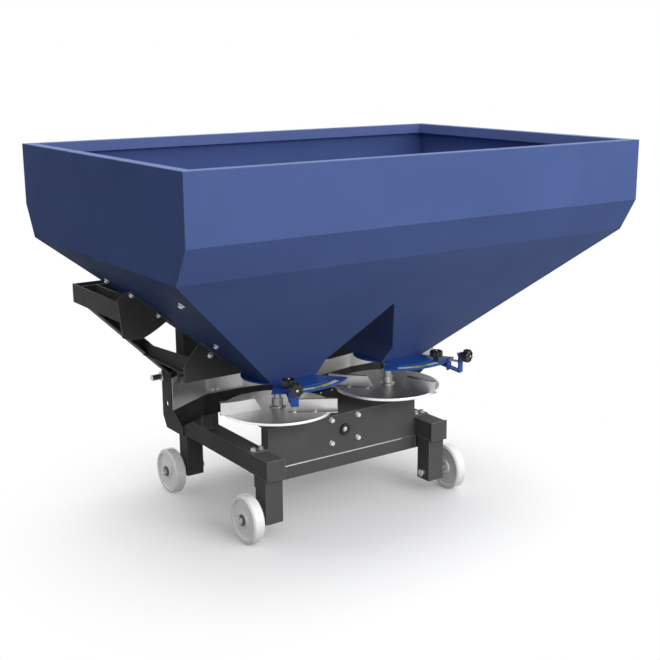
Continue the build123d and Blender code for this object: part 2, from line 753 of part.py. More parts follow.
# Centre gearbox: a housing open at the rear and closed by a cover against the cross beam's web.
cover_front_y = web_front_y + COVER_PLATE
box_bottom_z = DRIVE_Z - CENTRE_BOX_HEIGHT / 2
with BuildPart() as centre_gearbox:
    with BuildSketch(across(CENTRE_BOX_FRONT)):
        with Locations((0, DRIVE_Z)):
            RectangleRounded(CENTRE_BOX_WIDTH, CENTRE_BOX_HEIGHT, BOX_WALL)
    extrude(amount=CENTRE_BOX_FRONT - cover_front_y)
    with BuildSketch(across(CENTRE_BOX_FRONT + BOSS_LENGTH)):
        with Locations((0, DRIVE_Z)):
            Circle(BOSS_RADIUS)
    extrude(amount=BOSS_LENGTH)
    with BuildSketch(Plane.YZ):
        with Locations((DISC_Y, DRIVE_Z)):
            Circle(BOSS_RADIUS)
    extrude(amount=CENTRE_BOX_WIDTH / 2 + BOSS_LENGTH, both=True)
    with BuildSketch(across(CENTRE_BOX_FRONT - BOX_WALL)):
        with Locations((0, DRIVE_Z)):
            Rectangle(CENTRE_BOX_WIDTH - 2 * BOX_WALL, CENTRE_BOX_HEIGHT - BOX_WALL)
    extrude(amount=CENTRE_BOX_FRONT - BOX_WALL - cover_front_y, mode=Mode.SUBTRACT)
    with BuildSketch(across(CENTRE_BOX_FRONT + BOSS_LENGTH)):
        with Locations((0, DRIVE_Z)):
            Circle(INPUT_DIAMETER / 2 + RUN_FIT)
    extrude(amount=BOSS_LENGTH + BOX_WALL, mode=Mode.SUBTRACT)
    with BuildSketch(Plane.YZ):
        with Locations((DISC_Y, DRIVE_Z)):
            Circle(shaft_bore)
    extrude(amount=CENTRE_BOX_WIDTH, both=True, mode=Mode.SUBTRACT)
save(centre_gearbox, "centre_gearbox")

with BuildPart() as centre_gearbox_cover:
    with BuildSketch(across(cover_front_y)):
        with Locations((0, DRIVE_Z)):
            RectangleRounded(COVER_WIDTH, CENTRE_BOX_HEIGHT, BOX_WALL)
            with GridLocations(COVER_BOLTS_X, COVER_BOLTS_Z, 2, 2):
                Circle(BOX_BOLT / 2 + BOLT_GAP, mode=Mode.SUBTRACT)
    extrude(amount=COVER_PLATE)
    with BuildSketch(across(web_front_y)):
        with Locations((0, DRIVE_Z)):
            Circle(COVER_RING_RADIUS)
    extrude(amount=BEAM_SHEET + BEAM_LIP_THICKNESS)
    with BuildSketch(across(BEAM_WEB_Y)):
        with Locations((0, DRIVE_Z)):
            Circle(COVER_RING_RADIUS / 2)
    extrude(amount=BEAM_LIP_THICKNESS, mode=Mode.SUBTRACT)
save(centre_gearbox_cover, "centre_gearbox_cover")


# Side gearboxes hang under the cross beam's top flange, open below and closed by covers.
def side_box_outline(inset, mode=Mode.ADD):
    """Round on the outside, and square towards the cross shaft."""
    radius = SIDE_BOX_RADIUS - inset
    reach = SIDE_BOX_REACH - inset
    Circle(radius, mode=mode)
    with Locations((-reach / 2, 0)):
        Rectangle(reach, 2 * radius, mode=mode)


with BuildPart() as side_gearbox:
    with BuildSketch(Plane(origin=(DISC_X, DISC_Y, SIDE_BOX_Z))):
        side_box_outline(0)
        side_box_outline(BOX_WALL, Mode.SUBTRACT)
    extrude(amount=beam_under_z - SIDE_BOX_Z)
    with BuildSketch(Plane(origin=(DISC_X, DISC_Y, beam_under_z))):
        side_box_outline(0)
    extrude(amount=-BOX_WALL)
    with BuildSketch(Plane(origin=(DISC_X, DISC_Y, beam_under_z))):
        Circle(BOSS_RADIUS)
    extrude(amount=BEAM_SHEET + BOSS_LENGTH)
    with BuildSketch(Plane.YZ.offset(side_wall_x)):
        with Locations((DISC_Y, DRIVE_Z)):
            Circle(BOSS_RADIUS)
    extrude(amount=-BOSS_LENGTH)
    with BuildSketch(Plane.YZ.offset(side_wall_x - BOSS_LENGTH)):
        with Locations((DISC_Y, DRIVE_Z)):
            Circle(shaft_bore)
    extrude(amount=BOSS_LENGTH + BOX_WALL, mode=Mode.SUBTRACT)
    with BuildSketch(Plane(origin=(DISC_X, DISC_Y, beam_under_z - BOX_WALL))):
        Circle(shaft_bore)
    extrude(amount=BOX_WALL + BEAM_SHEET + BOSS_LENGTH, mode=Mode.SUBTRACT)
save_both(side_gearbox, "side_gearbox")

with BuildPart() as side_gearbox_covers:
    with BuildSketch(Plane(origin=(DISC_X, DISC_Y, SIDE_BOX_Z))):
        side_box_outline(0)
    extrude(amount=-COVER_PLATE)
    with BuildSketch(Plane(origin=(DISC_X, DISC_Y, SIDE_BOX_Z))):
        Circle(shaft_bore)
    extrude(amount=-(SIDE_BOX_Z - shaft_foot_z) - SLIDE_GAP, mode=Mode.SUBTRACT)
    mirror(about=Plane.YZ)
save(side_gearbox_covers, "side_gearbox_covers")

# Base rails, each with a bar that carries the shield on the tractor side of its disc.
shield_y = DISC_Y + VANE_REACH + 8 + SHIELD_GAP
bar_low_y = shield_y + SHIELD_LEAN + SHIELD_SHEET
bar_high_y = shield_y + SHIELD_SHEET
with BuildPart() as base_rail:
    with BuildSketch(across(post_rear_y)):
        with Locations((RAIL_X, RAIL_Z + RAIL / 2)):
            Rectangle(RAIL, RAIL)
            Rectangle(RAIL - 2 * WALL, RAIL - 2 * WALL, mode=Mode.SUBTRACT)
    extrude(amount=post_rear_y - RAIL_REAR_Y)
    with BuildSketch(across(RAIL_REAR_Y)):
        with Locations((RAIL_X, RAIL_Z + RAIL / 2)):
            Rectangle(RAIL + 2 * CAP_OVERHANG, RAIL + 2 * CAP_OVERHANG)
    extrude(amount=CAP_THICKNESS)
    with BuildSketch(Plane.YZ.offset(RAIL_X - SHIELD_BAR / 2)):
        with BuildLine():
            Polyline(
                (bar_low_y, rail_top_z),
                (bar_low_y, SHIELD_BOTTOM_Z),
                (bar_high_y, SHIELD_FOLD_Z),
                (bar_high_y + SHIELD_BAR_THICKNESS, SHIELD_FOLD_Z),
                (bar_low_y + SHIELD_BAR_THICKNESS, SHIELD_BOTTOM_Z),
                (bar_low_y + SHIELD_BAR_THICKNESS, rail_top_z),
                close=True,
            )
        make_face()
    extrude(amount=SHIELD_BAR)
save_both(base_rail, "base_rail")


def add_axle_hole(y):
    with BuildSketch(Plane.YZ.offset(rail_inner_x)) as hole:
        with Locations((y, WHEEL_DIAMETER / 2)):
            Circle(AXLE_DIAMETER / 2 + BOLT_GAP)
    extrude(hole.sketch, amount=RAIL, mode=Mode.SUBTRACT)


with BuildPart() as rear_leg:
    with BuildSketch(Plane.XY.offset(LEG_Z)):
        with Locations((RAIL_X, LEG_Y)):
            Rectangle(RAIL, RAIL)
            Rectangle(RAIL - 2 * WALL, RAIL - 2 * WALL, mode=Mode.SUBTRACT)
    extrude(amount=RAIL_Z - LEG_Z)
    add_axle_hole(LEG_Y)
save_both(rear_leg, "rear_leg")

with BuildPart() as front_post:
    with BuildSketch(Plane.XY.offset(LEG_Z)):
        with Locations((RAIL_X, POST_Y)):
            Rectangle(RAIL, POST_DEPTH)
            Rectangle(RAIL - 2 * WALL, POST_DEPTH - 2 * WALL, mode=Mode.SUBTRACT)
    extrude(amount=upper_top_z - LEG_Z)
    with BuildSketch(across(upper_rear_y)):
        with Locations((RAIL_X, UPPER_Z + UPPER_BEAM / 2)):
            Rectangle(RAIL, UPPER_BEAM)
            Rectangle(RAIL - 2 * WALL, UPPER_BEAM - 2 * WALL, mode=Mode.SUBTRACT)
    extrude(amount=upper_rear_y - post_front_y)
    add_axle_hole(POST_Y)
save_both(front_post, "front_post")

# Rear cross beam: a folded channel between the rails, with a doubled lower edge and an ear on each rail.
ear_y = BEAM_WEB_Y + BEAM_EAR / 2
with BuildPart() as rear_cross_beam:
    with BuildSketch(Plane.YZ.offset(-rail_inner_x)):
        with BuildLine():
            Polyline(
                (BEAM_WEB_Y, BEAM_BOTTOM_Z),
                (BEAM_WEB_Y, BEAM_TOP_Z),
                (BEAM_WEB_Y + BEAM_DEPTH, BEAM_TOP_Z),
                (BEAM_WEB_Y + BEAM_DEPTH, beam_under_z),
                (web_front_y, beam_under_z),
                (web_front_y, BEAM_BOTTOM_Z),
                close=True,
            )
        make_face()
    extrude(amount=2 * rail_inner_x)
    with BuildSketch(across(BEAM_WEB_Y)):
        with Locations((0, BEAM_BOTTOM_Z + BEAM_LIP / 2)):
            Rectangle(2 * rail_inner_x, BEAM_LIP)
    extrude(amount=BEAM_LIP_THICKNESS)
    for side in (-1, 1):
        with BuildSketch(across(BEAM_WEB_Y + BEAM_END_DEPTH)):
            with Locations((side * (rail_inner_x - BEAM_SHEET / 2), (BEAM_BOTTOM_Z + BEAM_TOP_Z) / 2)):
                Rectangle(BEAM_SHEET, BEAM_TOP_Z - BEAM_BOTTOM_Z)
        extrude(amount=BEAM_END_DEPTH)
        with BuildSketch(Plane.XY.offset(rail_top_z)):
            with Locations((side * (rail_inner_x + BEAM_EAR_WIDTH / 2), ear_y)):
                Rectangle(BEAM_EAR_WIDTH, BEAM_EAR)
        extrude(amount=BEAM_SHEET)
    for side in (-1, 1):
        with BuildSketch(Plane(origin=(side * DISC_X, DISC_Y, BEAM_TOP_Z))):
            Circle(BOSS_RADIUS + BOLT_GAP)
        extrude(amount=-BEAM_SHEET, mode=Mode.SUBTRACT)
    with BuildSketch(across(web_front_y)):
        with Locations((0, DRIVE_Z)):
            Circle(COVER_RING_RADIUS + BOLT_GAP)
            with GridLocations(COVER_BOLTS_X, COVER_BOLTS_Z, 2, 2):
                Circle(BOX_BOLT / 2 + BOLT_GAP)
    extrude(amount=BEAM_SHEET, mode=Mode.SUBTRACT)
save(rear_cross_beam, "rear_cross_beam")

# Three-point hitch: two lower plates joined by a cross tube, with their pins, and a mast above.
hitch_front_y = half_depth - HITCH_FRONT_SETBACK
hitch_rear_y = half_depth - HITCH_DEPTH
hitch_pin_y = half_depth - COLLAR_DIAMETER / 2
hitch_chamfer = 33.0
hitch_chamfer_z = 53.0
hitch_foot_z = RAIL_Z - 6
hitch_foot_height = 50.0
hitch_neck_height = 97.0
hitch_foot_y = POST_Y - 17

with BuildPart() as hitch_plate:
    with BuildSketch(Plane.YZ.offset(rail_outer_x)):
        with BuildLine():
            Polyline(
                (hitch_front_y, HITCH_TOP_Z),
                (hitch_front_y, hitch_foot_z + hitch_chamfer_z),
                (hitch_front_y - hitch_chamfer, hitch_foot_z),
                (hitch_foot_y, hitch_foot_z),
                (hitch_foot_y, hitch_foot_z + hitch_foot_height),
                (hitch_rear_y, hitch_foot_z + hitch_neck_height),
                (hitch_rear_y, HITCH_TOP_Z),
                close=True,
            )
        make_face()
        with Locations((hitch_pin_y, HITCH_PIN_Z)):
            Circle(COLLAR_DIAMETER / 2)
        with Locations((half_depth - HITCH_HOLE_SETBACK, HITCH_HOLE_Z)):
            Circle(HITCH_HOLE_DIAMETER / 2, mode=Mode.SUBTRACT)
    extrude(amount=HITCH_PLATE)
save_both(hitch_plate, "hitch_plate")

with BuildPart() as lower_hitch_pins:
    with BuildSketch(Plane.YZ.offset(hitch_outer_x)):
        with Locations((hitch_pin_y, HITCH_PIN_Z)):
            Circle(COLLAR_DIAMETER / 2)
    extrude(amount=COLLAR_LENGTH)
    with BuildSketch(Plane.YZ.offset(hitch_outer_x + COLLAR_LENGTH)):
        with Locations((hitch_pin_y, HITCH_PIN_Z)):
            Circle(HITCH_PIN_DIAMETER / 2)
    extrude(amount=HITCH_PIN_LENGTH)
    chamfer(faces().sort_by(Axis.X)[-1].edges(), 3)
    mirror(about=Plane.YZ)
save(lower_hitch_pins, "lower_hitch_pins")

with BuildPart() as front_cross_tube:
    with BuildSketch(Plane.YZ.offset(-rail_outer_x)):
        with Locations((half_depth - UPPER_BEAM / 2, HITCH_TOP_Z - UPPER_BEAM / 2)):
            Rectangle(UPPER_BEAM, UPPER_BEAM)
            Rectangle(UPPER_BEAM - 2 * WALL, UPPER_BEAM - 2 * WALL, mode=Mode.SUBTRACT)
    extrude(amount=2 * rail_outer_x)
save(front_cross_tube, "front_cross_tube")

mast_base = 10.0
mast_foot = 120.0
mast_bore_z = HITCH_PIN_Z + MAST_HEIGHT
mast_ear_radius = 34.0
mast_y = half_depth - UPPER_BEAM / 2
with BuildPart() as top_link_mast:
    with BuildSketch(Plane.XY.offset(upper_top_z)):
        with Locations((0, mast_y)):
            Rectangle(mast_foot, UPPER_BEAM)
    extrude(amount=mast_base)
    for side in (-1, 1):
        ear_start = side * (MAST_GAP + MAST_EAR) / 2 - MAST_EAR / 2
        with BuildSketch(Plane.YZ.offset(ear_start)):
            with Locations((mast_y, mast_bore_z)):
                Circle(mast_ear_radius)
            with BuildLine():
                Polyline(
                    (upper_rear_y, upper_top_z + mast_base),
                    (half_depth, upper_top_z + mast_base),
                    (mast_y + mast_ear_radius, mast_bore_z),
                    (mast_y - mast_ear_radius, mast_bore_z),
                    close=True,
                )
            make_face()
            with Locations((mast_y, mast_bore_z)):
                Circle(MAST_BORE / 2, mode=Mode.SUBTRACT)
        extrude(amount=MAST_EAR)
save(top_link_mast, "top_link_mast")

# Upper frame: open channels under the hopper's overhang, held up by the diagonal struts.
with BuildPart() as upper_front_beam:
    with BuildSketch(Plane.YZ.offset(-upper_half)):
        with Locations((half_depth - UPPER_BEAM / 2, UPPER_Z + UPPER_BEAM / 2)):
            Rectangle(UPPER_BEAM, UPPER_BEAM)
        with Locations((half_depth - UPPER_BEAM / 2, UPPER_Z + UPPER_BEAM / 2 + UPPER_WALL / 2)):
            Rectangle(UPPER_BEAM - 2 * UPPER_WALL, UPPER_BEAM - UPPER_WALL, mode=Mode.SUBTRACT)
    extrude(amount=2 * upper_half)
    for side in (-1, 1):
        with BuildSketch(Plane.YZ.offset(side * (upper_half - UPPER_WALL / 2))):
            with Locations((half_depth - UPPER_BEAM / 2, UPPER_Z + UPPER_BEAM / 2)):
                Rectangle(UPPER_BEAM, UPPER_BEAM)
        extrude(amount=UPPER_WALL / 2, both=True)
save(upper_front_beam, "upper_front_beam")

with BuildPart() as upper_side_rails:
    with BuildSketch(across(upper_rear_y)):
        with Locations((upper_half - UPPER_BEAM / 2, UPPER_Z + UPPER_BEAM / 2)):
            Rectangle(UPPER_BEAM, UPPER_BEAM)
        with Locations((upper_half - UPPER_BEAM / 2, UPPER_Z + UPPER_BEAM / 2 + UPPER_WALL / 2)):
            Rectangle(UPPER_BEAM - 2 * UPPER_WALL, UPPER_BEAM - UPPER_WALL, mode=Mode.SUBTRACT)
    extrude(amount=upper_rear_y - SIDE_RAIL_REAR_Y)
    mirror(about=Plane.YZ)
save(upper_side_rails, "upper_side_rails")

strut_foot_x = hitch_outer_x
strut_head_x = upper_half - STRUT_SETBACK
strut_run = strut_head_x - strut_foot_x
strut_rise = UPPER_Z - HITCH_TOP_Z
strut_across = math.hypot(strut_run, strut_rise) / strut_rise


def strut_outline(inset):
    """Sloping strut between the hitch plate's top and the upper beam, inset along X on both edges."""
    inner = STRUT_WIDTH * strut_across
    step = inset * strut_across
    Polyline(
        (strut_foot_x - step, HITCH_TOP_Z),
        (strut_head_x - step, UPPER_Z),
        (strut_head_x - inner + step, UPPER_Z),
        (strut_foot_x - inner + step, HITCH_TOP_Z),
        close=True,
    )


with BuildPart() as diagonal_struts:
    with BuildSketch(across(half_depth)):
        with BuildLine():
            strut_outline(0)
        make_face()
    extrude(amount=UPPER_BEAM)
    with BuildSketch(across(half_depth - STRUT_FLANGE)):
        with BuildLine():
            strut_outline(STRUT_FLANGE)
        make_face()
    extrude(amount=UPPER_BEAM, mode=Mode.SUBTRACT)
    mirror(about=Plane.YZ)
save(diagonal_struts, "diagonal_struts")


# Gussets close the side rails' rear ends and take the hopper's end slopes on a flange.
def slope_flange(inner_x, outer_x):
    """Flat strip under the end slope, between two points across the machine."""
    Polyline(
        (inner_x, end_slope(inner_x)),
        (outer_x, end_slope(outer_x)),
        (outer_x, end_slope(outer_x) - FLANGE_THICKNESS),
        (inner_x, end_slope(inner_x) - FLANGE_THICKNESS),
        close=True,
    )


gusset_top_x = upper_half - 36
gusset_inner_x = upper_half - 199
gusset_low_z = UPPER_Z - 73
with BuildPart() as hopper_gussets:
    with BuildSketch(across(SIDE_RAIL_REAR_Y)):
        with BuildLine():
            Polyline(
                (upper_half - 86, gusset_low_z),
                (upper_half - 34, gusset_low_z),
                (upper_half, gusset_low_z + 13),
                (upper_half + 16, upper_top_z + 18),
                (gusset_top_x, end_slope(gusset_top_x)),
                (gusset_inner_x, end_slope(gusset_inner_x)),
            )
            ThreePointArc(
                (gusset_inner_x, end_slope(gusset_inner_x)),
                (upper_half - 146, gusset_low_z + 28),
                (upper_half - 86, gusset_low_z),
            )
        make_face()
    extrude(amount=GUSSET_THICKNESS)
    with BuildSketch(across(SIDE_RAIL_REAR_Y - GUSSET_THICKNESS)):
        with BuildLine():
            slope_flange(gusset_inner_x, gusset_top_x)
        make_face()
    extrude(amount=FLANGE_WIDTH)
    mirror(about=Plane.YZ)
save(hopper_gussets, "hopper_gussets")

# Hopper supports: plates under the end slopes, each on a tie that runs forward into its strut.
support_front_y = SUPPORT_Y + SUPPORT_THICKNESS
support_inner_x = funnel_outer_x - 28
support_bend_x = funnel_outer_x - 4
support_top_x = funnel_outer_x + 151
tie_z = HITCH_TOP_Z + 98
tie_mid_rise = tie_z + TIE_HEIGHT / 2 - HITCH_TOP_Z
strut_mid_x = strut_foot_x + tie_mid_rise * strut_run / strut_rise - STRUT_WIDTH * strut_across / 2
tie_x = strut_mid_x + TIE_THICKNESS / 2
tie_end_y = half_depth - STRUT_FLANGE
tie_foot_y = upper_rear_y - SLIDE_GAP
with BuildPart() as hopper_supports:
    with BuildSketch(across(support_front_y)):
        with BuildLine():
            Polyline(
                (support_inner_x, tie_z - 15),
                (support_inner_x, tie_z + 1),
                (support_bend_x, end_slope(support_bend_x)),
                (support_top_x, end_slope(support_top_x)),
                (tie_x + 39, tie_z + 85),
                (tie_x + 61, tie_z + 51),
                (tie_x + 62, tie_z - 15),
                close=True,
            )
        make_face()
    extrude(amount=SUPPORT_THICKNESS)
    with BuildSketch(across(SUPPORT_Y)):
        with BuildLine():
            slope_flange(funnel_outer_x + 55, support_top_x)
        make_face()
    extrude(amount=FLANGE_WIDTH)
    with BuildSketch(Plane.YZ.offset(tie_x - TIE_THICKNESS)):
        with BuildLine():
            Polyline(
                (support_front_y, tie_z),
                (tie_end_y, tie_z),
                (tie_end_y, tie_z + TIE_HEIGHT),
                (tie_foot_y, tie_z + TIE_HEIGHT),
                (support_front_y, tie_z + TIE_HEIGHT + TIE_RISE),
                close=True,
            )
        make_face()
    extrude(amount=TIE_THICKNESS)
    with BuildSketch(Plane.XY.offset(tie_z)):
        with Locations((tie_x - TIE_THICKNESS + TIE_WIDTH / 2, (support_front_y + tie_foot_y) / 2)):
            Rectangle(TIE_WIDTH, tie_foot_y - support_front_y)
    extrude(amount=TIE_THICKNESS)
    mirror(about=Plane.YZ)
save(hopper_supports, "hopper_supports")

# Disc shields: a sheet round the tractor side of each disc, upright above a fold and leaning away below it.
shield_line = [
    (SHIELD_GAP / 2, shield_y - 56),
    (DISC_X + 2, shield_y),
    (DISC_X + 182, shield_y),
    (DISC_X + 398, shield_y - 122),
]


def shield_moved(reach):
    """Points of the shield's line moved away from its disc, mitred at the corners."""
    ways = []
    for (x0, y0), (x1, y1) in zip(shield_line, shield_line[1:]):
        length = math.hypot(x1 - x0, y1 - y0)
        ways.append(Vector((y0 - y1) / length, (x1 - x0) / length))
    moved = []
    for k, (x, y) in enumerate(shield_line):
        before = ways[max(k - 1, 0)]
        after = ways[min(k, len(ways) - 1)]
        shift = (before + after) * (reach / (1 + before.dot(after)))
        moved.append((x + shift.X, y + shift.Y))
    return moved


def shield_outline(reach):
    Polyline(*shield_moved(reach), *reversed(shield_moved(reach + SHIELD_SHEET)), close=True)


with BuildPart() as disc_shield:
    with BuildSketch(Plane.XY.offset(SHIELD_BOTTOM_Z)):
        with BuildLine():
            shield_outline(SHIELD_LEAN)
        make_face()
    with BuildSketch(Plane.XY.offset(SHIELD_FOLD_Z)):
        with BuildLine():
            shield_outline(0)
        make_face()
    loft()
    with BuildSketch(Plane.XY.offset(SHIELD_FOLD_Z)):
        with BuildLine():
            shield_outline(0)
        make_face()
    extrude(amount=SHIELD_TOP_Z - SHIELD_FOLD_Z)
    with BuildSketch(across(half_depth)):
        with BuildLine():
            Polyline(
                (0, SHIELD_TOP_Z - 73),
                (DISC_X, SHIELD_TOP_Z - 73),
                (DISC_X + 182, SHIELD_TOP_Z - 41),
                (DISC_X + 305, SHIELD_TOP_Z - 29),
                (DISC_X + 317, SHIELD_TOP_Z),
                (0, SHIELD_TOP_Z),
                close=True,
            )
        make_face()
        with BuildLine():
            Polyline(
                (DISC_X + 333, SHIELD_BOTTOM_Z),
                (DISC_X + 398, SHIELD_FOLD_Z),
                (DISC_X + 420, SHIELD_FOLD_Z),
                (DISC_X + 420, SHIELD_BOTTOM_Z),
                close=True,
            )
        make_face()
    extrude(amount=HOPPER_DEPTH, mode=Mode.SUBTRACT)
save_both(disc_shield, "disc_shield")


# Nylon wheels on shoulder bolts through the legs and posts.
def wheel_at(x, y):
    """Turned nylon wheel: a tread, a recessed web on both faces and a hub."""
    centre = (x, y, WHEEL_DIAMETER / 2)
    half = WHEEL_WIDTH / 2
    radius = WHEEL_DIAMETER / 2
    with BuildPart() as wheel:
        with BuildSketch(Plane(origin=centre, x_dir=(1, 0, 0), z_dir=(0, -1, 0))):
            with BuildLine():
                right = [
                    (half, AXLE_DIAMETER / 2 + RUN_FIT),
                    (half, HUB_DIAMETER / 2),
                    (half - WHEEL_RECESS, HUB_DIAMETER / 2 + WHEEL_RECESS / 2),
                    (half - WHEEL_RECESS, radius - TREAD - WHEEL_RECESS / 2),
                    (half, radius - TREAD),
                    (half, radius - WHEEL_RECESS),
                    (half - WHEEL_RECESS, radius),
                ]
                Polyline(*right, *[(-a, r) for a, r in reversed(right)], close=True)
            make_face()
        revolve(axis=Axis(centre, (1, 0, 0)))
    return wheel


wheel_places = {
    "wheel_rear_left": (-WHEEL_X, LEG_Y),
    "wheel_rear_right": (WHEEL_X, LEG_Y),
    "wheel_front_left": (-WHEEL_X, POST_Y),
    "wheel_front_right": (WHEEL_X, POST_Y),
}
for name, (x, y) in wheel_places.items():
    save(wheel_at(x, y), name)

wheel_inner_x = WHEEL_X - WHEEL_WIDTH / 2 - SLIDE_GAP
wheel_outer_x = WHEEL_X + WHEEL_WIDTH / 2 + SLIDE_GAP
with BuildPart() as axle_bolts:
    for y in (LEG_Y, POST_Y):
        axle_start = Plane.YZ.offset(rail_inner_x - AXLE_NUT_HEIGHT)
        with BuildSketch(axle_start):
            with Locations((y, WHEEL_DIAMETER / 2)):
                Circle(AXLE_DIAMETER / 2)
        extrude(amount=wheel_outer_x + 1.3 * AXLE_NUT_HEIGHT - (rail_inner_x - AXLE_NUT_HEIGHT))
        for nut_x in (rail_inner_x - AXLE_NUT_HEIGHT, wheel_outer_x):
            with BuildSketch(Plane.YZ.offset(nut_x)):
                with Locations((y, WHEEL_DIAMETER / 2)):
                    RegularPolygon(AXLE_NUT / 2, 6, major_radius=False)
            extrude(amount=AXLE_NUT_HEIGHT)
        with BuildSketch(Plane.YZ.offset(rail_outer_x)):
            with Locations((y, WHEEL_DIAMETER / 2)):
                Circle(AXLE_SHOULDER / 2)
        extrude(amount=wheel_inner_x - rail_outer_x)
    mirror(about=Plane.YZ)
save(axle_bolts, "axle_bolts")
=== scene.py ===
import json
import math

import bmesh
import bpy
from mathutils import Matrix, Vector


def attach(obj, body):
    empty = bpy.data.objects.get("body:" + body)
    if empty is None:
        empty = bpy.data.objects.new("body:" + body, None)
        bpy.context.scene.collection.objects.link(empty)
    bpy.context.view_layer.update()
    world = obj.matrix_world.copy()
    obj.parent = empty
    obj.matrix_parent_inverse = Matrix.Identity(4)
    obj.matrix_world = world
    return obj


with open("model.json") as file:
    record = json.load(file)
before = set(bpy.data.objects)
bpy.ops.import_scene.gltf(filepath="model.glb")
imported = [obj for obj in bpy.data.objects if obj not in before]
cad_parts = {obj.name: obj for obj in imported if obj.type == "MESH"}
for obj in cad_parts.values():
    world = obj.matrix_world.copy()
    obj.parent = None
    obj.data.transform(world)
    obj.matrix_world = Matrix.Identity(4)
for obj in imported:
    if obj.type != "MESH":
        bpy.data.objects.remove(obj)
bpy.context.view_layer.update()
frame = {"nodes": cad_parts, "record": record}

nodes = frame["nodes"]
scene = bpy.context.scene
scene.view_settings.view_transform = "Standard"

# Sizes that the fittings share with the model, in metres.
DISC_X, DISC_Y, DISC_Z = 0.285, -0.011, 0.494
FLOOR_TOP = 0.640
DRIVE_Z = 0.360
WEB_Y = -0.090
COVER_Y = -0.098
RAIL_INNER, RAIL_OUTER = 0.380, 0.460
RAIL_TOP, RAIL_BOTTOM = 0.340, 0.260
EAR_TOP = 0.346
LEG_REAR, LEG_FRONT = -0.195, -0.115
POST_REAR = 0.482
WHEEL_Z = 0.100
WHEEL_PLACES = ((-1, -0.155), (1, -0.155), (-1, 0.517), (1, 0.517))
NUT_FACE, AXLE_END = 0.5484, 0.5679
FUNNEL_X, SLOPE_RISE = 0.390, 0.84615
SHIELD_Y = 0.272
SHIELD_FOLD, SHIELD_BOTTOM, SHIELD_LEAN = 0.507, 0.408, 0.017
VANE_TOP = 0.497
ANGLE_UNDER = 0.252


# Materials: each has its own grain in colour, roughness and bump, in object coordinates; some also carry
# painted highlights, shade and reflections.
FINE_EDGE, MOULDED_EDGE, DISC_EDGE = 0.0008, 0.0012, 0.003


def new_material(name):
    mat = bpy.data.materials.new(name)
    mat.use_nodes = True
    tree = mat.node_tree
    shader = tree.nodes["Principled BSDF"]
    coords = tree.nodes.new("ShaderNodeTexCoord")
    return mat, tree, shader, coords.outputs["Object"]


def noise(tree, coords, scale, detail=4.0, rough=0.55, stretch=None):
    if stretch is not None:
        mapping = tree.nodes.new("ShaderNodeMapping")
        mapping.inputs["Scale"].default_value = stretch
        tree.links.new(coords, mapping.inputs["Vector"])
        coords = mapping.outputs["Vector"]
    node = tree.nodes.new("ShaderNodeTexNoise")
    node.inputs["Scale"].default_value = scale
    node.inputs["Detail"].default_value = detail
    node.inputs["Roughness"].default_value = rough
    tree.links.new(coords, node.inputs["Vector"])
    return node.outputs["Fac"]


def ramp(tree, factor, stops):
    node = tree.nodes.new("ShaderNodeValToRGB")
    elements = node.color_ramp.elements
    while len(elements) < len(stops):
        elements.new(0.5)
    for element, (position, colour) in zip(elements, stops):
        element.position = position
        element.color = (*colour, 1.0)
    tree.links.new(factor, node.inputs["Fac"])
    return node.outputs["Color"]


def spread(tree, factor, low, high, start=0.3, end=0.7):
    node = tree.nodes.new("ShaderNodeMapRange")
    node.inputs["From Min"].default_value = start
    node.inputs["From Max"].default_value = end
    node.inputs["To Min"].default_value = low
    node.inputs["To Max"].default_value = high
    tree.links.new(factor, node.inputs["Value"])
    return node.outputs["Result"]


def rounded_normal(tree, radius):
    """The normal as if edges were rounded to this radius."""
    bevel = tree.nodes.new("ShaderNodeBevel")
    bevel.samples = 6
    bevel.inputs["Radius"].default_value = radius
    return bevel.outputs["Normal"]


def edge_of(tree, rounded):
    """How near a point is to an outer edge, from 0 to 1, by how far its normal is rounded."""
    place = tree.nodes.new("ShaderNodeNewGeometry")
    across = tree.nodes.new("ShaderNodeVectorMath")
    across.operation = "DOT_PRODUCT"
    tree.links.new(rounded, across.inputs[0])
    tree.links.new(place.outputs["Normal"], across.inputs[1])
    return spread(tree, across.outputs["Value"], 1.0, 0.0, 0.80, 0.99)


def normal_up(tree):
    """The Z of the surface's own normal, from -1 to 1."""
    place = tree.nodes.new("ShaderNodeNewGeometry")
    split = tree.nodes.new("ShaderNodeSeparateXYZ")
    tree.links.new(place.outputs["Normal"], split.inputs["Vector"])
    return split.outputs["Z"]


def three_stops(colour, low, high, dark=0.3, middle=0.6, light=0.8):
    """Ramp stops round a colour, from that many times darker to that many times lighter."""
    return [(dark, shade(colour, low)), (middle, colour), (light, shade(colour, high))]


def blend(tree, factor, first, second):
    node = tree.nodes.new("ShaderNodeMix")
    node.data_type = "RGBA"
    tree.links.new(factor, node.inputs["Factor"])
    tree.links.new(first, node.inputs["A"])
    if isinstance(second, tuple):
        node.inputs["B"].default_value = (*second, 1.0)
    else:
        tree.links.new(second, node.inputs["B"])
    return node.outputs["Result"]


def bump(tree, shader, height, strength, distance, normal=None):
    node = tree.nodes.new("ShaderNodeBump")
    node.inputs["Strength"].default_value = strength
    node.inputs["Distance"].default_value = distance
    tree.links.new(height, node.inputs["Height"])
    if normal is not None:
        tree.links.new(normal, node.inputs["Normal"])
    tree.links.new(node.outputs["Normal"], shader.inputs["Normal"])


def shade(colour, factor):
    return tuple(min(1.0, c * factor) for c in colour)


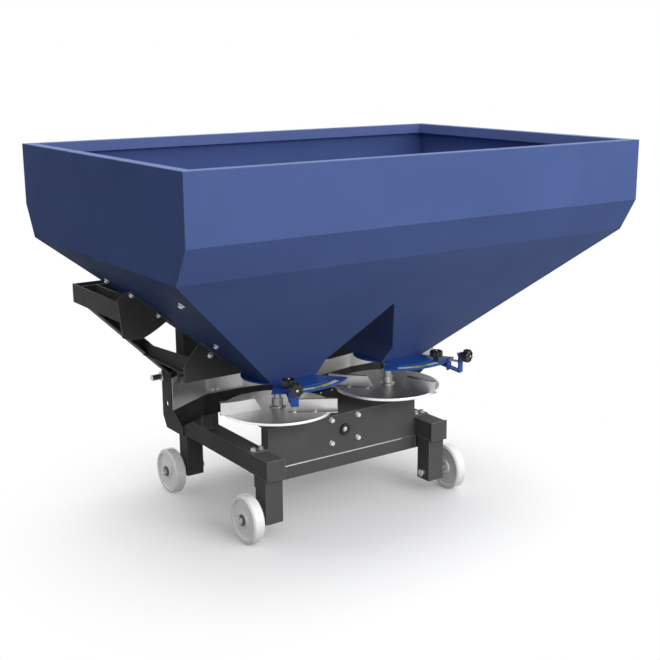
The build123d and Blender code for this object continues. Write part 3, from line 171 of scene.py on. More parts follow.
def paint(
    name, colour, rough, coat=0.0, contrast=0.06, peel=0.06, edge=0.0015, edge_light=1.8, under=None, specular=0.025
):
    """Sprayed paint: cloudiness, dust in the gloss, orange peel and a painted highlight, a lighter colour
    along edges.

    Where a colour is given for it, faces that look down take it as painted shade.
    """
    mat, tree, shader, coords = new_material(name)
    cloud = noise(tree, coords, 3.5, 5.0)
    sprayed = ramp(tree, cloud, three_stops(colour, 1 - contrast, 1 + contrast, 0.3, 0.55, 0.75))
    # Painted shade: faces that look down take the darker colour.
    if under is not None:
        sprayed = blend(tree, spread(tree, normal_up(tree), 1.0, 0.0, -0.7, -0.4), sprayed, under)
    # Painted highlight: the colour lightens towards outer edges, broken up by noise.
    rounded = rounded_normal(tree, edge)
    edge_light_mask = tree.nodes.new("ShaderNodeMath")
    edge_light_mask.operation = "MULTIPLY"
    tree.links.new(edge_of(tree, rounded), edge_light_mask.inputs[0])
    tree.links.new(spread(tree, noise(tree, coords, 40.0, 4.0), 0.4, 1.0), edge_light_mask.inputs[1])
    # The lighter colour of the painted highlight along edges.
    worn = tuple(c * edge_light + 0.02 for c in colour)
    tree.links.new(blend(tree, edge_light_mask.outputs["Value"], sprayed, worn), shader.inputs["Base Color"])
    dust = spread(tree, noise(tree, coords, 9.0, 6.0), rough - 0.05, rough + 0.07)
    tree.links.new(dust, shader.inputs["Roughness"])
    bump(tree, shader, noise(tree, coords, 260.0, 2.0), peel, 0.0006, rounded)
    shader.inputs["Specular IOR Level"].default_value = specular
    shader.inputs["Coat Weight"].default_value = coat
    shader.inputs["Coat Roughness"].default_value = 0.12
    return mat


def metal(name, colour, low, high, stretch, contrast=0.15, strength=0.1, top=None):
    """Brushed or turned metal: streaks along one way, and level tops painted in a shade colour where one is
    given.
    """
    mat, tree, shader, coords = new_material(name)
    streak = noise(tree, coords, 60.0, 6.0, 0.7, stretch)
    brushed = ramp(tree, streak, three_stops(colour, 1 - contrast, 1 + contrast))
    if top is not None:
        # Painted shade: faces that look up take the given colour.
        brushed = blend(tree, spread(tree, normal_up(tree), 0.0, 1.0, 0.4, 0.8), brushed, top)
    tree.links.new(brushed, shader.inputs["Base Color"])
    tree.links.new(spread(tree, streak, low, high), shader.inputs["Roughness"])
    bump(tree, shader, streak, strength, 0.0002, rounded_normal(tree, FINE_EDGE))
    shader.inputs["Metallic"].default_value = 1.0
    return mat


def brushed_disc(name, colour, low, high, centre):
    """Sheet metal brushed in rings about a disc's axis, with a painted highlight on the rim (faces that don't
    look up are near white) and faint wear from the throw.
    """
    mat, tree, shader, coords = new_material(name)
    offset = tree.nodes.new("ShaderNodeVectorMath")
    offset.operation = "SUBTRACT"
    offset.inputs[1].default_value = centre
    tree.links.new(coords, offset.inputs[0])
    radius = tree.nodes.new("ShaderNodeVectorMath")
    radius.operation = "LENGTH"
    tree.links.new(offset.outputs["Vector"], radius.inputs[0])
    rings = tree.nodes.new("ShaderNodeTexNoise")
    rings.noise_dimensions = "1D"
    rings.inputs["Scale"].default_value = 420.0
    rings.inputs["Detail"].default_value = 5.0
    tree.links.new(radius.outputs["Value"], rings.inputs["W"])
    sheet = ramp(tree, rings.outputs["Fac"], three_stops(colour, 0.82, 1.12, 0.3, 0.55, 0.75))
    # Painted highlight: the rim and other faces that don't look up turn near white.
    rim = spread(tree, normal_up(tree), 1.0, 0.0, 0.3, 0.9)
    tree.links.new(blend(tree, rim, sheet, (0.92, 0.92, 0.92)), shader.inputs["Base Color"])
    worn = spread(tree, noise(tree, coords, 5.0, 2.0), low, high)
    tree.links.new(worn, shader.inputs["Roughness"])
    bump(tree, shader, rings.outputs["Fac"], 0.02, 0.0003, rounded_normal(tree, DISC_EDGE))
    shader.inputs["Metallic"].default_value = 1.0
    return mat


def sheet_with_dark_reflection(name, colour, dark, low, high, fold):
    """Upright brushed sheet metal, duller below its fold, with a painted dark reflection there."""
    mat, tree, shader, coords = new_material(name)
    streak = noise(tree, coords, 60.0, 6.0, 0.7, (4.0, 4.0, 0.3))
    sheet = ramp(tree, streak, three_stops(colour, 0.94, 1.06))
    split = tree.nodes.new("ShaderNodeSeparateXYZ")
    tree.links.new(coords, split.inputs["Vector"])
    below = spread(tree, split.outputs["Z"], 1.0, 0.0, fold - 0.003, fold + 0.001)
    # The colour below the fold: a painted dark reflection.
    coat = ramp(tree, noise(tree, coords, 30.0, 5.0), [(0.3, shade(dark, 0.75)), (0.7, shade(dark, 1.25))])
    tree.links.new(blend(tree, below, sheet, coat), shader.inputs["Base Color"])
    brushed = spread(tree, streak, low, high)
    dulled = tree.nodes.new("ShaderNodeMath")
    dulled.operation = "MULTIPLY_ADD"
    dulled.inputs[1].default_value = 0.22
    tree.links.new(below, dulled.inputs[0])
    tree.links.new(brushed, dulled.inputs[2])
    tree.links.new(dulled.outputs["Value"], shader.inputs["Roughness"])
    bump(tree, shader, streak, 0.02, 0.0002, rounded_normal(tree, FINE_EDGE))
    shader.inputs["Metallic"].default_value = 1.0
    return mat


def plastic(name, colour, rough, contrast=0.1, grain=900.0, strength=0.12, coat=0.0):
    """Moulded plastic: fine grain and slight handling marks."""
    mat, tree, shader, coords = new_material(name)
    mark = noise(tree, coords, 22.0, 6.0)
    marked = ramp(tree, mark, three_stops(colour, 1 - contrast, 1 + contrast))
    tree.links.new(marked, shader.inputs["Base Color"])
    tree.links.new(spread(tree, mark, rough + 0.06, rough - 0.06), shader.inputs["Roughness"])
    fine = noise(tree, coords, grain, 2.0)
    bump(tree, shader, fine, strength, 0.0003, rounded_normal(tree, MOULDED_EDGE))
    shader.inputs["Coat Weight"].default_value = coat
    shader.inputs["Coat Roughness"].default_value = 0.15
    return mat


HOPPER_BLUE = (0.074, 0.113, 0.285)
# The hopper's blue made lighter: painted light on the rim's lit top.
RIM_BLUE_LIT = (0.095, 0.135, 0.305)
# Painted shade for the hopper ends' faces that look down.
SHADED_UNDER_BLUE = (0.045, 0.070, 0.175)
METER_BLUE = (0.028, 0.095, 0.36)
FRAME_GREY = (0.101, 0.101, 0.102)
# The vanes' tops take a painted shade colour.
VANE_GREY, VANE_TOP_SHADE = (0.66, 0.66, 0.655), (0.11, 0.11, 0.11)
# Below the shields' fold: a painted dark reflection.
SHIELD_GREY, SHIELD_DARK_REFLECTION = (0.44, 0.44, 0.438), (0.035, 0.035, 0.035)
DISC_GREY = (0.37, 0.37, 0.366)

# Each paint lightens along its edges as a painted highlight.
hopper_paint = paint("hopper_paint", HOPPER_BLUE, 0.42, edge_light=1.35)
# The ends' paint: faces that look down are darker, a painted shade.
end_paint_shaded_under = paint("end_paint_shaded_under", HOPPER_BLUE, 0.55, edge_light=1.35, under=SHADED_UNDER_BLUE, specular=0.008)
# The rim's paint is a lighter, lit copy of the hopper's blue.
rim_paint = paint("rim_paint", RIM_BLUE_LIT, 0.42)
meter_paint = paint("meter_paint", METER_BLUE, 0.32, coat=0.2)
frame_paint = paint("frame_paint", FRAME_GREY, 0.50, contrast=0.10, peel=0.1, edge=0.003, edge_light=4.5)
stainless = metal(
    "stainless", VANE_GREY, 0.29, 0.34, (0.3, 4.0, 4.0), contrast=0.06, strength=0.02, top=VANE_TOP_SHADE
)
steel = metal("steel", (0.58, 0.58, 0.57), 0.30, 0.44, (5.0, 5.0, 0.5))
shield_sheet = sheet_with_dark_reflection("shield_sheet", SHIELD_GREY, SHIELD_DARK_REFLECTION, 0.29, 0.33, SHIELD_FOLD)
zinc = metal("zinc", (0.72, 0.73, 0.74), 0.29, 0.40, (3.0, 3.0, 3.0), strength=0.06)
dark_steel = metal(
    "dark_steel", (0.13, 0.13, 0.13), 0.34, 0.50, (3.0, 3.0, 3.0), contrast=0.2, strength=0.08
)
housing = paint("housing", (0.026, 0.026, 0.028), 0.55, contrast=0.25, peel=0.3)
nylon = plastic("nylon", (0.95, 0.95, 0.945), 0.34, contrast=0.03, grain=500.0, coat=0.8)
knob_black = plastic("knob_black", (0.012, 0.012, 0.013), 0.38, contrast=0.3)
rubber = plastic("rubber_seal", (0.006, 0.006, 0.006), 0.6, contrast=0.3)
label_white = plastic("label_white", (0.80, 0.82, 0.80), 0.40, contrast=0.06)
label_yellow = plastic("label_yellow", (0.72, 0.66, 0.08), 0.40, contrast=0.08)
label_green = plastic("label_green", (0.22, 0.50, 0.08), 0.40, contrast=0.08)

own_finish = {
    "hopper_left_end": end_paint_shaded_under,
    "hopper_right_end": end_paint_shaded_under,
    "hopper_rim": rim_paint,
    "disc_shield_left": shield_sheet,
    "disc_shield_right": shield_sheet,
}
for side, word in ((-1, "left"), (1, "right")):
    disc_centre = (side * DISC_X, DISC_Y, DISC_Z)
    disc_sheet = brushed_disc(f"disc_sheet_{word}", DISC_GREY, 0.34, 0.42, disc_centre)
    own_finish[f"spreading_disc_{word}"] = disc_sheet
finishes = {
    "hopper_paint": hopper_paint,
    "meter_paint": meter_paint,
    "frame_paint": frame_paint,
    "stainless": stainless,
    "steel": steel,
    "housing": housing,
    "nylon": nylon,
    "knob": knob_black,
}
slot_of = {part["node"]: part["material_slot"] for part in frame["record"]["subparts"]}
for name, obj in nodes.items():
    obj.data.materials.clear()
    obj.data.materials.append(own_finish.get(name, finishes[slot_of[name]]))


# Pieces made here
SMOOTH_ANGLE = math.radians(40)
RIPPLE_FAST, RIPPLE_SLOW = 2.1, 0.9
WELD_STEP, WELD_RIPPLE = 0.004, 0.22


def piece(name, bm, materials, body, smooth=False):
    mesh = bpy.data.meshes.new(name)
    bmesh.ops.recalc_face_normals(bm, faces=bm.faces[:])
    bm.to_mesh(mesh)
    bm.free()
    obj = bpy.data.objects.new(name, mesh)
    scene.collection.objects.link(obj)
    for material in materials:
        mesh.materials.append(material)
    if smooth:
        mesh.shade_smooth()
        mesh.set_sharp_from_angle(angle=SMOOTH_ANGLE)
    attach(obj, body)
    return obj


def frame_at(place, normal, turn=0.0):
    """Matrix with its Z along normal, at place."""
    normal = Vector(normal).normalized()
    turned = normal.to_track_quat("Z", "Y").to_matrix().to_4x4()
    return Matrix.Translation(place) @ turned @ Matrix.Rotation(turn, 4, "Z")


def add_loops(bm, loops, closed):
    """Join rings of points with quads; a closed run joins the last ring to the first."""
    pairs = list(zip(loops, loops[1:]))
    if closed:
        pairs.append((loops[-1], loops[0]))
    for low, high in pairs:
        count = len(low)
        for k in range(count):
            j = (k + 1) % count
            bm.faces.new((low[k], low[j], high[j], high[k]))
    if not closed:
        bm.faces.new(reversed(loops[0]))
        bm.faces.new(loops[-1])


def add_rings(bm, matrix, sides, rings, turn=0.0, closed=False):
    """Add a turned form from rings of (radius, height): capped, or closed on itself like a washer."""
    loops = []
    for radius, height in rings:
        loop = []
        for k in range(sides):
            angle = turn + 2 * math.pi * k / sides
            point = Vector((radius * math.cos(angle), radius * math.sin(angle), height))
            loop.append(bm.verts.new(matrix @ point))
        loops.append(loop)
    add_loops(bm, loops, closed)


def add_tube(bm, points, radius, sides=8, ripple=0.0):
    """Add a capped tube along points; ripple makes it swell and shrink like a weld."""
    points = [Vector(p) for p in points]
    loops = []
    for k, point in enumerate(points):
        ahead = points[min(k + 1, len(points) - 1)] - points[max(k - 1, 0)]
        matrix = frame_at(point, ahead)
        size = radius * (1 + ripple * math.sin(RIPPLE_FAST * k) * math.cos(RIPPLE_SLOW * k))
        loop = []
        for j in range(sides):
            angle = 2 * math.pi * j / sides
            loop.append(bm.verts.new(matrix @ Vector((size * math.cos(angle), size * math.sin(angle), 0))))
        loops.append(loop)
    add_loops(bm, loops, False)


def add_bolt(bm, place, normal, across, turn=0.3, washer=0.92):
    """Add a hexagon bolt head, on a washer of that many head widths in radius."""
    matrix = frame_at(place, normal)
    corner = across / 2 / math.cos(math.pi / 6)
    base = 0.0
    if washer:
        base = across * 0.12
        rim = across * washer
        add_rings(bm, matrix, 28, [(rim, 0.0), (rim, base * 0.8), (rim * 0.96, base)])
    top = base + across * 0.55
    add_rings(bm, matrix, 6, [(corner, base), (corner, top - across * 0.06), (corner * 0.88, top)], turn)
    mark = across * 0.30
    crown = [(mark, top - 0.0001), (mark, top + across * 0.03), (across * 0.26, top + across * 0.04)]
    add_rings(bm, matrix, 20, crown)


def bolts(name, places, across, body, washer=0.92):
    bm = bmesh.new()
    for k, (place, normal) in enumerate(places):
        add_bolt(bm, place, normal, across, 0.3 + 0.7 * k, washer)
    return piece(name, bm, [zinc], body)


def along(start, end, count):
    start, end = Vector(start), Vector(end)
    return [start.lerp(end, k / (count - 1)) for k in range(count)]


def welds(name, runs, radius=0.0032):
    bm = bmesh.new()
    for start, end in runs:
        count = max(6, int((Vector(end) - Vector(start)).length / WELD_STEP))
        add_tube(bm, along(start, end, count), radius, sides=7, ripple=WELD_RIPPLE)
    return piece(name, bm, [frame_paint], "frame", True)


# Gearbox: bolts through the beam's web, a black ring and a pale plug in the middle of the cover
REARWARD = (0, -1, 0)
GEARBOX_BOLT_X, GEARBOX_BOLT_Z = 0.068, 0.051
SEAL_RING = [
    (0.0125, 0.0),
    (0.0245, 0.0),
    (0.0245, 0.0012),
    (0.0235, 0.0022),
    (0.0135, 0.0022),
    (0.0125, 0.0012),
]
PLUG_FLANGE = [(0.0116, 0.0), (0.0116, 0.0035), (0.0102, 0.0050)]
PLUG_HEAD = [(0.0070, 0.0049), (0.0070, 0.0100), (0.0062, 0.0108)]
gearbox_bolts = []
for x in (-GEARBOX_BOLT_X, GEARBOX_BOLT_X):
    for z in (-GEARBOX_BOLT_Z, GEARBOX_BOLT_Z):
        gearbox_bolts.append(((x, WEB_Y, DRIVE_Z + z), REARWARD))
bolts("gearbox_bolts", gearbox_bolts, 0.019, "frame", washer=0.62)

bm = bmesh.new()
add_rings(bm, frame_at((0, COVER_Y, DRIVE_Z), REARWARD), 48, SEAL_RING, closed=True)
piece("cover_seal_ring", bm, [rubber], "frame", True)

bm = bmesh.new()
at_cover = frame_at((0, WEB_Y, DRIVE_Z), REARWARD)
add_rings(bm, at_cover, 32, PLUG_FLANGE)
add_rings(bm, at_cover, 6, PLUG_HEAD, turn=0.4)
piece("cover_plug", bm, [zinc], "frame")

# Beam ends: two bolts through each ear and rail, with a head above the ear and one under the angle
EAR_BOLT_X, EAR_BOLT_Y = (0.402, 0.438), -0.068
ear_bolts = []
for side in (-1, 1):
    for x in EAR_BOLT_X:
        ear_bolts.append(((side * x, EAR_BOLT_Y, EAR_TOP), (0, 0, 1)))
        ear_bolts.append(((side * x, EAR_BOLT_Y, ANGLE_UNDER), (0, 0, -1)))
bolts("beam_ear_bolts", ear_bolts, 0.019, "frame", washer=0.75)

# Beam ends: an angle under each rail carries the doubled lower edge on to the leg
ANGLE_ENDS = (0.3808, 0.4520)
ANGLE_PROFILE = (
    (-0.0980, 0.2000),
    (-0.0920, 0.2000),
    (-0.0920, ANGLE_UNDER),
    (-0.0480, ANGLE_UNDER),
    (-0.0480, 0.2580),
    (-0.0960, 0.2580),
    (-0.0980, 0.2560),
)
bm = bmesh.new()
for side in (-1, 1):
    loops = []
    for x in ANGLE_ENDS:
        loops.append([bm.verts.new((side * x, y, z)) for y, z in ANGLE_PROFILE])
    add_loops(bm, loops, False)
piece("beam_foot_angles", bm, [frame_paint], "frame")

# The doubled edge's top: a bright metal bead, partly bare metal and partly a painted highlight of the edge
EDGE_START, EDGE_END, EDGE_RADIUS = (-0.379, -0.0965, 0.2568), (0.300, -0.0965, 0.2568), 0.0024
bm = bmesh.new()
add_tube(bm, along(EDGE_START, EDGE_END, 180), EDGE_RADIUS, sides=10, ripple=0.06)
piece("beam_bright_edge", bm, [zinc], "frame", True)

# Side gearboxes: four small bolts in each bottom cover, as offsets from the disc's axis
UNDER_COVER_Z = 0.300
UNDER_BOLTS = ((-0.042, -0.034), (-0.042, 0.034), (0.030, -0.036), (0.030, 0.036))
under_bolts = []
for side in (-1, 1):
    for x, y in UNDER_BOLTS:
        under_bolts.append(((side * (DISC_X + x), DISC_Y + y, UNDER_COVER_Z), (0, 0, -1)))
bolts("gearbox_cover_bolts", under_bolts, 0.010, "frame", washer=0.0)


# Hopper: bolts on the end slopes, the gussets' flanges and the supports
def slope_place(side, x, y, proud=0.0):
    """Place and outward normal on an end slope, proud of it by a flange's thickness."""
    normal = Vector((side * SLOPE_RISE, 0, -1)).normalized()
    return Vector((side * x, y, FLOOR_TOP + (x - FUNNEL_X) * SLOPE_RISE)) + normal * proud, normal


GUSSET_FLANGE = 0.008
SLOPE_BOLTS = (
    (0.855, 0.347, 0.0),
    (0.820, 0.185, GUSSET_FLANGE),
    (0.708, 0.185, GUSSET_FLANGE),
    (0.895, -0.379, 0.0),
    (0.584, -0.053, 0.0),
)
SUPPORT_BOLT = (0.496, 0.165, 0.706)
slope_bolts = []
for side in (-1, 1):
    for x, y, proud in SLOPE_BOLTS:
        slope_bolts.append(slope_place(side, x, y, proud))
    x, y, z = SUPPORT_BOLT
    slope_bolts.append(((side * x, y, z), REARWARD))
bolts("hopper_bolts", slope_bolts, 0.017, "frame", washer=0.80)

# Shields: two bolts each into the bar behind
SHIELD_BOLT_X, SHIELD_BOLT_Z = (0.408, 0.432), 0.520
shield_bolts = []
for side in (-1, 1):
    for x in SHIELD_BOLT_X:
        shield_bolts.append(((side * x, SHIELD_Y, SHIELD_BOLT_Z), REARWARD))
bolts("shield_bolts", shield_bolts, 0.010, "frame", washer=0.85)

# Shields: a gusset plate beside each bar, on the rail
GUSSET_FACES = (0.2925, 0.2985)
GUSSET_OUTLINE = (
    (0.440, RAIL_TOP),
    (0.459, RAIL_TOP),
    (0.479, 0.366),
    (0.479, 0.408),
    (0.472, 0.415),
    (0.440, 0.415),
)
bm = bmesh.new()
for side in (-1, 1):
    loops = []
    for y in GUSSET_FACES:
        loops.append([bm.verts.new((side * x, y, z)) for x, z in GUSSET_OUTLINE])
    add_loops(bm, loops, False)
piece("shield_gussets", bm, [frame_paint], "frame")

# Shields: a black rubber flap riveted under the inner run of each, beside the input shaft, which fills the
# gap between the discs with dark
FLAP_START, FLAP_END = Vector((0.0300, 0.22032)), Vector((0.2600, 0.26657))
FLAP_TOP, FLAP_LOW, FLAP_THICK = 0.424, 0.372, 0.003
FLAP_SWING, FLAP_WAVE, WAVE_TURN, FLAP_STEPS = 0.002, 0.0008, 1.1, 24
FLAP_RIVETS = (0.06, 0.35, 0.65, 0.94)
FLAP_RIVET = [(0.0050, -0.0004), (0.0050, 0.0006), (0.0040, 0.0018), (0.0018, 0.0025)]
flap_way = (FLAP_END - FLAP_START).normalized()
flap_out = Vector((-flap_way.y, flap_way.x))
lean_top = SHIELD_LEAN * (SHIELD_FOLD - FLAP_TOP) / (SHIELD_FOLD - SHIELD_BOTTOM)
for side, word in ((-1, "left"), (1, "right")):
    bm = bmesh.new()
    loops = []
    for k in range(FLAP_STEPS + 1):
        spot = FLAP_START.lerp(FLAP_END, k / FLAP_STEPS)
        hang = SHIELD_LEAN + FLAP_SWING + FLAP_WAVE * math.sin(WAVE_TURN * k)
        profile = (
            (lean_top, FLAP_TOP),
            (SHIELD_LEAN, SHIELD_BOTTOM),
            (hang, FLAP_LOW),
            (hang - FLAP_THICK, FLAP_LOW),
            (SHIELD_LEAN - FLAP_THICK, SHIELD_BOTTOM),
            (lean_top - FLAP_THICK, FLAP_TOP),
        )
        loop = []
        for reach, z in profile:
            at = spot + flap_out * reach
            loop.append(bm.verts.new((side * at.x, at.y, z)))
        loops.append(loop)
    add_loops(bm, loops, False)
    before = len(bm.faces)
    for part in FLAP_RIVETS:
        at = FLAP_START.lerp(FLAP_END, part) + flap_out * ((lean_top + SHIELD_LEAN) / 2 - FLAP_THICK)
        place = Vector((side * at.x, at.y, (FLAP_TOP + SHIELD_BOTTOM) / 2))
        add_rings(bm, frame_at(place, (-side * flap_out.x, -flap_out.y, 0)), 16, FLAP_RIVET)
    bm.faces.ensure_lookup_table()
    for face in bm.faces[before:]:
        face.material_index = 1
    piece(f"shield_flap_{word}", bm, [rubber, zinc], "frame", True)


# Discs: a collar round the foot of each hub, and two bolts in the foot of each vane
def on_disc(side, radius, degrees):
    """The place on a disc at that radius and turn about its axis."""
    turn = math.radians(degrees)
    return Vector((side * DISC_X + radius * math.cos(turn), DISC_Y + radius * math.sin(turn), DISC_Z))


VANE_FOOT, VANE_BOLTS = 0.0175, (0.125, 0.535)
VANE_TIP, PITCHED_START, RADIAL_START = 0.258, 0.095, 0.080
PITCHED_TURN, PITCHED_SWEEP, RADIAL_TURN, RADIAL_TIP_TURN = 137.0, 45.0, 8.0, 3.0
DISC_PHASES = ((-1, "left", 173.0), (1, "right", -72.0))
SCREW_COUNT, SCREW_CIRCLE, SCREW_BASE, SCREW_TURN = 3, 0.0298, 0.006, 0.5


def vane_bolts(side, start, end):
    """Places on a vane's foot for its bolts, beside the line from its inner end to its tip."""
    run = end - start
    foot = Vector((-side * run.y, side * run.x, 0)).normalized() * VANE_FOOT
    places = []
    for part in VANE_BOLTS:
        place = start + run * part + foot
        place.z = VANE_TOP
        places.append(place)
    return places


HUB_COLLAR = [
    (0.0242, 0.0),
    (0.0340, 0.0),
    (0.0340, 0.0045),
    (0.0325, 0.0060),
    (0.0262, 0.0068),
    (0.0242, 0.0092),
]
COLLAR_SCREW = [(0.0032, -0.0005), (0.0032, 0.0022), (0.0027, 0.0028)]
BOLT_DOME = [
    (0.0080, 0.0),
    (0.0080, 0.0012),
    (0.0074, 0.0026),
    (0.0058, 0.0040),
    (0.0034, 0.0049),
    (0.0010, 0.0052),
]
for side, word, phase in DISC_PHASES:
    body = f"{word}_disc_group"
    bm = bmesh.new()
    add_rings(bm, Matrix.Translation(on_disc(side, 0, 0)), 48, HUB_COLLAR, closed=True)
    for k in range(SCREW_COUNT):
        turn = 2 * math.pi * k / SCREW_COUNT + SCREW_TURN
        spot = on_disc(side, SCREW_CIRCLE, math.degrees(turn)) + Vector((0, 0, SCREW_BASE))
        add_rings(bm, Matrix.Translation(spot), 6, COLLAR_SCREW)
    piece(f"hub_collar_{word}", bm, [steel], body, True)
    tip = phase - side * PITCHED_TURN
    inner = on_disc(side, PITCHED_START, tip + side * PITCHED_SWEEP)
    places = vane_bolts(side, inner, on_disc(side, VANE_TIP, tip))
    inner = on_disc(side, RADIAL_START, phase - side * RADIAL_TURN)
    places += vane_bolts(side, inner, on_disc(side, VANE_TIP, phase - side * RADIAL_TIP_TURN))
    bm = bmesh.new()
    for place in places:
        add_rings(bm, Matrix.Translation(place), 20, BOLT_DOME)
    piece(f"vane_bolts_{word}", bm, [zinc], body, True)

# Outlet floors: a coloured scale along the curved edge, with plain division lines
SCALE_INNER, SCALE_OUTER, SCALE_HEIGHT = 0.2680, 0.2880, 0.0006
LINE_LONG, LINE_SHORT, LINE_OUTER, LINE_WIDTH = 0.2740, 0.2800, 0.2872, 0.22
LINE_START, LINE_PITCH, LINE_COUNT = -117.0, 1.9, 21
LINE_LOW, LINE_HIGH = FLOOR_TOP + 0.0004, FLOOR_TOP + 0.0008
SCALE_ZONES = ((-118.0, -106.0, 0), (-106.0, -97.0, 1), (-97.0, -90.0, 2), (-90.0, -78.0, 0))


def sector_point(side, radius, degrees, height):
    """The place at that height, radius and turn about a disc's axis, mirrored for the left one."""
    turn = math.radians(degrees)
    return Vector((side * (DISC_X + radius * math.cos(turn)), DISC_Y + radius * math.sin(turn), height))


def add_sector(bm, side, inner, outer, start, end, low, high, index, steps=6):
    """Add a flat sector between two radii, two angles and two heights, in one of the piece's materials."""
    loops = []
    for k in range(steps + 1):
        angle = start + (end - start) * k / steps
        corners = ((inner, low), (outer, low), (outer, high), (inner, high))
        loops.append([bm.verts.new(sector_point(side, r, angle, z)) for r, z in corners])
    before = len(bm.faces)
    add_loops(bm, loops, False)
    bm.faces.ensure_lookup_table()
    for face in bm.faces[before:]:
        face.material_index = index


for side, word in ((-1, "left"), (1, "right")):
    bm = bmesh.new()
    for start, end, index in SCALE_ZONES:
        add_sector(bm, side, SCALE_INNER, SCALE_OUTER, start, end, FLOOR_TOP, FLOOR_TOP + SCALE_HEIGHT, index)
    for k in range(LINE_COUNT):
        angle = LINE_START + LINE_PITCH * k
        depth = LINE_LONG if k % 5 == 0 else LINE_SHORT
        add_sector(bm, side, depth, LINE_OUTER, angle, angle + LINE_WIDTH, LINE_LOW, LINE_HIGH, 3, 1)
    inks = [label_white, label_yellow, label_green, knob_black]
    piece(f"dose_scale_{word}", bm, inks, "frame")

# Dosing levers: a steel sleeve on each rod, a nut behind each grip and a stud's end in each knob
LEVER_TURN = math.radians(-69.0)
ROD_Z, GRIP_Z, KNOB_TOP = 0.648, 0.6776, 0.6804
ROD_START, UPRIGHT, GRIP_FACE, STUD_REACH = 0.312, 0.359, 0.409, 0.246
STUD_END = [(0.0048, -0.0004), (0.0048, 0.0012), (0.0042, 0.0022), (0.0024, 0.0029), (0.0008, 0.0031)]
NUT_LENGTH, GRIP_BOLT = 0.0050, 0.015
ROD_NUT = [(0.0051, 0.0), (0.0082, 0.0), (0.0082, NUT_LENGTH), (0.0051, NUT_LENGTH)]
SLEEVE_LENGTH = UPRIGHT - ROD_START
ROD_SLEEVE = [(0.0042, 0.0), (0.0050, 0.0), (0.0050, SLEEVE_LENGTH), (0.0042, SLEEVE_LENGTH)]


def lever_way(side):
    """The way that a lever points, out from its disc's axis."""
    return Vector((side * math.cos(LEVER_TURN), math.sin(LEVER_TURN), 0))


def lever_place(side, reach, height):
    return Vector((side * DISC_X, DISC_Y, height)) + lever_way(side) * reach


for side, word in ((-1, "left"), (1, "right")):
    outward = lever_way(side)
    bm = bmesh.new()
    add_rings(bm, frame_at(lever_place(side, ROD_START, ROD_Z), outward), 20, ROD_SLEEVE, closed=True)
    for reach, turn in ((ROD_START, 0.2), (UPRIGHT - NUT_LENGTH, 0.6)):
        add_rings(bm, frame_at(lever_place(side, reach, ROD_Z), outward), 6, ROD_NUT, turn, closed=True)
    piece(f"lever_rod_sleeve_{word}", bm, [steel], f"{word}_shutter_group")
    bm = bmesh.new()
    add_bolt(bm, lever_place(side, UPRIGHT, GRIP_Z), -outward, GRIP_BOLT, turn=0.4, washer=0.7)
    add_rings(bm, frame_at(lever_place(side, GRIP_FACE, GRIP_Z), outward), 20, STUD_END)
    piece(f"grip_fastening_{word}", bm, [zinc], f"{word}_shutter_group")
    bm = bmesh.new()
    add_rings(bm, Matrix.Translation(lever_place(side, STUD_REACH, KNOB_TOP)), 20, STUD_END)
    piece(f"knob_stud_end_{word}", bm, [zinc], f"{word}_locking_knob", True)

# Wheels: a dark washer round each nut and a split pin through the axle's end
AXLE_WASHER = [(0.0178, 0.0), (0.0240, 0.0), (0.0240, 0.0022), (0.0232, 0.0030), (0.0178, 0.0030)]
PIN_RADIUS, PIN_EYE, PIN_EYE_HEIGHT, PIN_INSET = 0.0011, 0.0042, 0.0145, 0.0022
EYE_START, EYE_SWEEP, EYE_STEPS = 200, 320, 16
PIN_LEG = ((0.0011, 0.0105), (0.0011, -0.0102), (0.0030, -0.0130), (0.0075, -0.0155))
bm = bmesh.new()
for side, y in WHEEL_PLACES:
    add_rings(bm, frame_at((side * NUT_FACE, y, WHEEL_Z), (side, 0, 0)), 40, AXLE_WASHER, closed=True)
piece("axle_washers", bm, [dark_steel], "frame", True)

bm = bmesh.new()
for side, y in WHEEL_PLACES:
    x = side * (AXLE_END - PIN_INSET)
    eye = Vector((x, y, WHEEL_Z + PIN_EYE_HEIGHT))
    loop = []
    for k in range(EYE_STEPS + 1):
        turn = math.radians(EYE_START + EYE_SWEEP * k / EYE_STEPS)
        loop.append(eye + Vector((0, PIN_EYE * math.sin(turn), PIN_EYE * math.cos(turn))))
    add_tube(bm, loop, PIN_RADIUS)
    for lean in (-1, 1):
        add_tube(bm, [(x, y + lean * out, WHEEL_Z + rise) for out, rise in PIN_LEG], PIN_RADIUS)
piece("axle_split_pins", bm, [zinc], "frame", True)

# Welds where the frame's members meet
runs = []
for side in (-1, 1):
    inner, outer = side * RAIL_INNER, side * RAIL_OUTER
    for y in (LEG_REAR, LEG_FRONT):
        runs.append(((inner, y, RAIL_BOTTOM), (outer, y, RAIL_BOTTOM)))
    for x in (inner, outer):
        runs.append(((x, LEG_REAR, RAIL_BOTTOM), (x, LEG_FRONT, RAIL_BOTTOM)))
        runs.append(((x, POST_REAR, RAIL_BOTTOM), (x, POST_REAR, RAIL_TOP)))
    for z in (RAIL_BOTTOM, RAIL_TOP):
        runs.append(((inner, POST_REAR, z), (outer, POST_REAR, z)))
welds("frame_welds", runs)

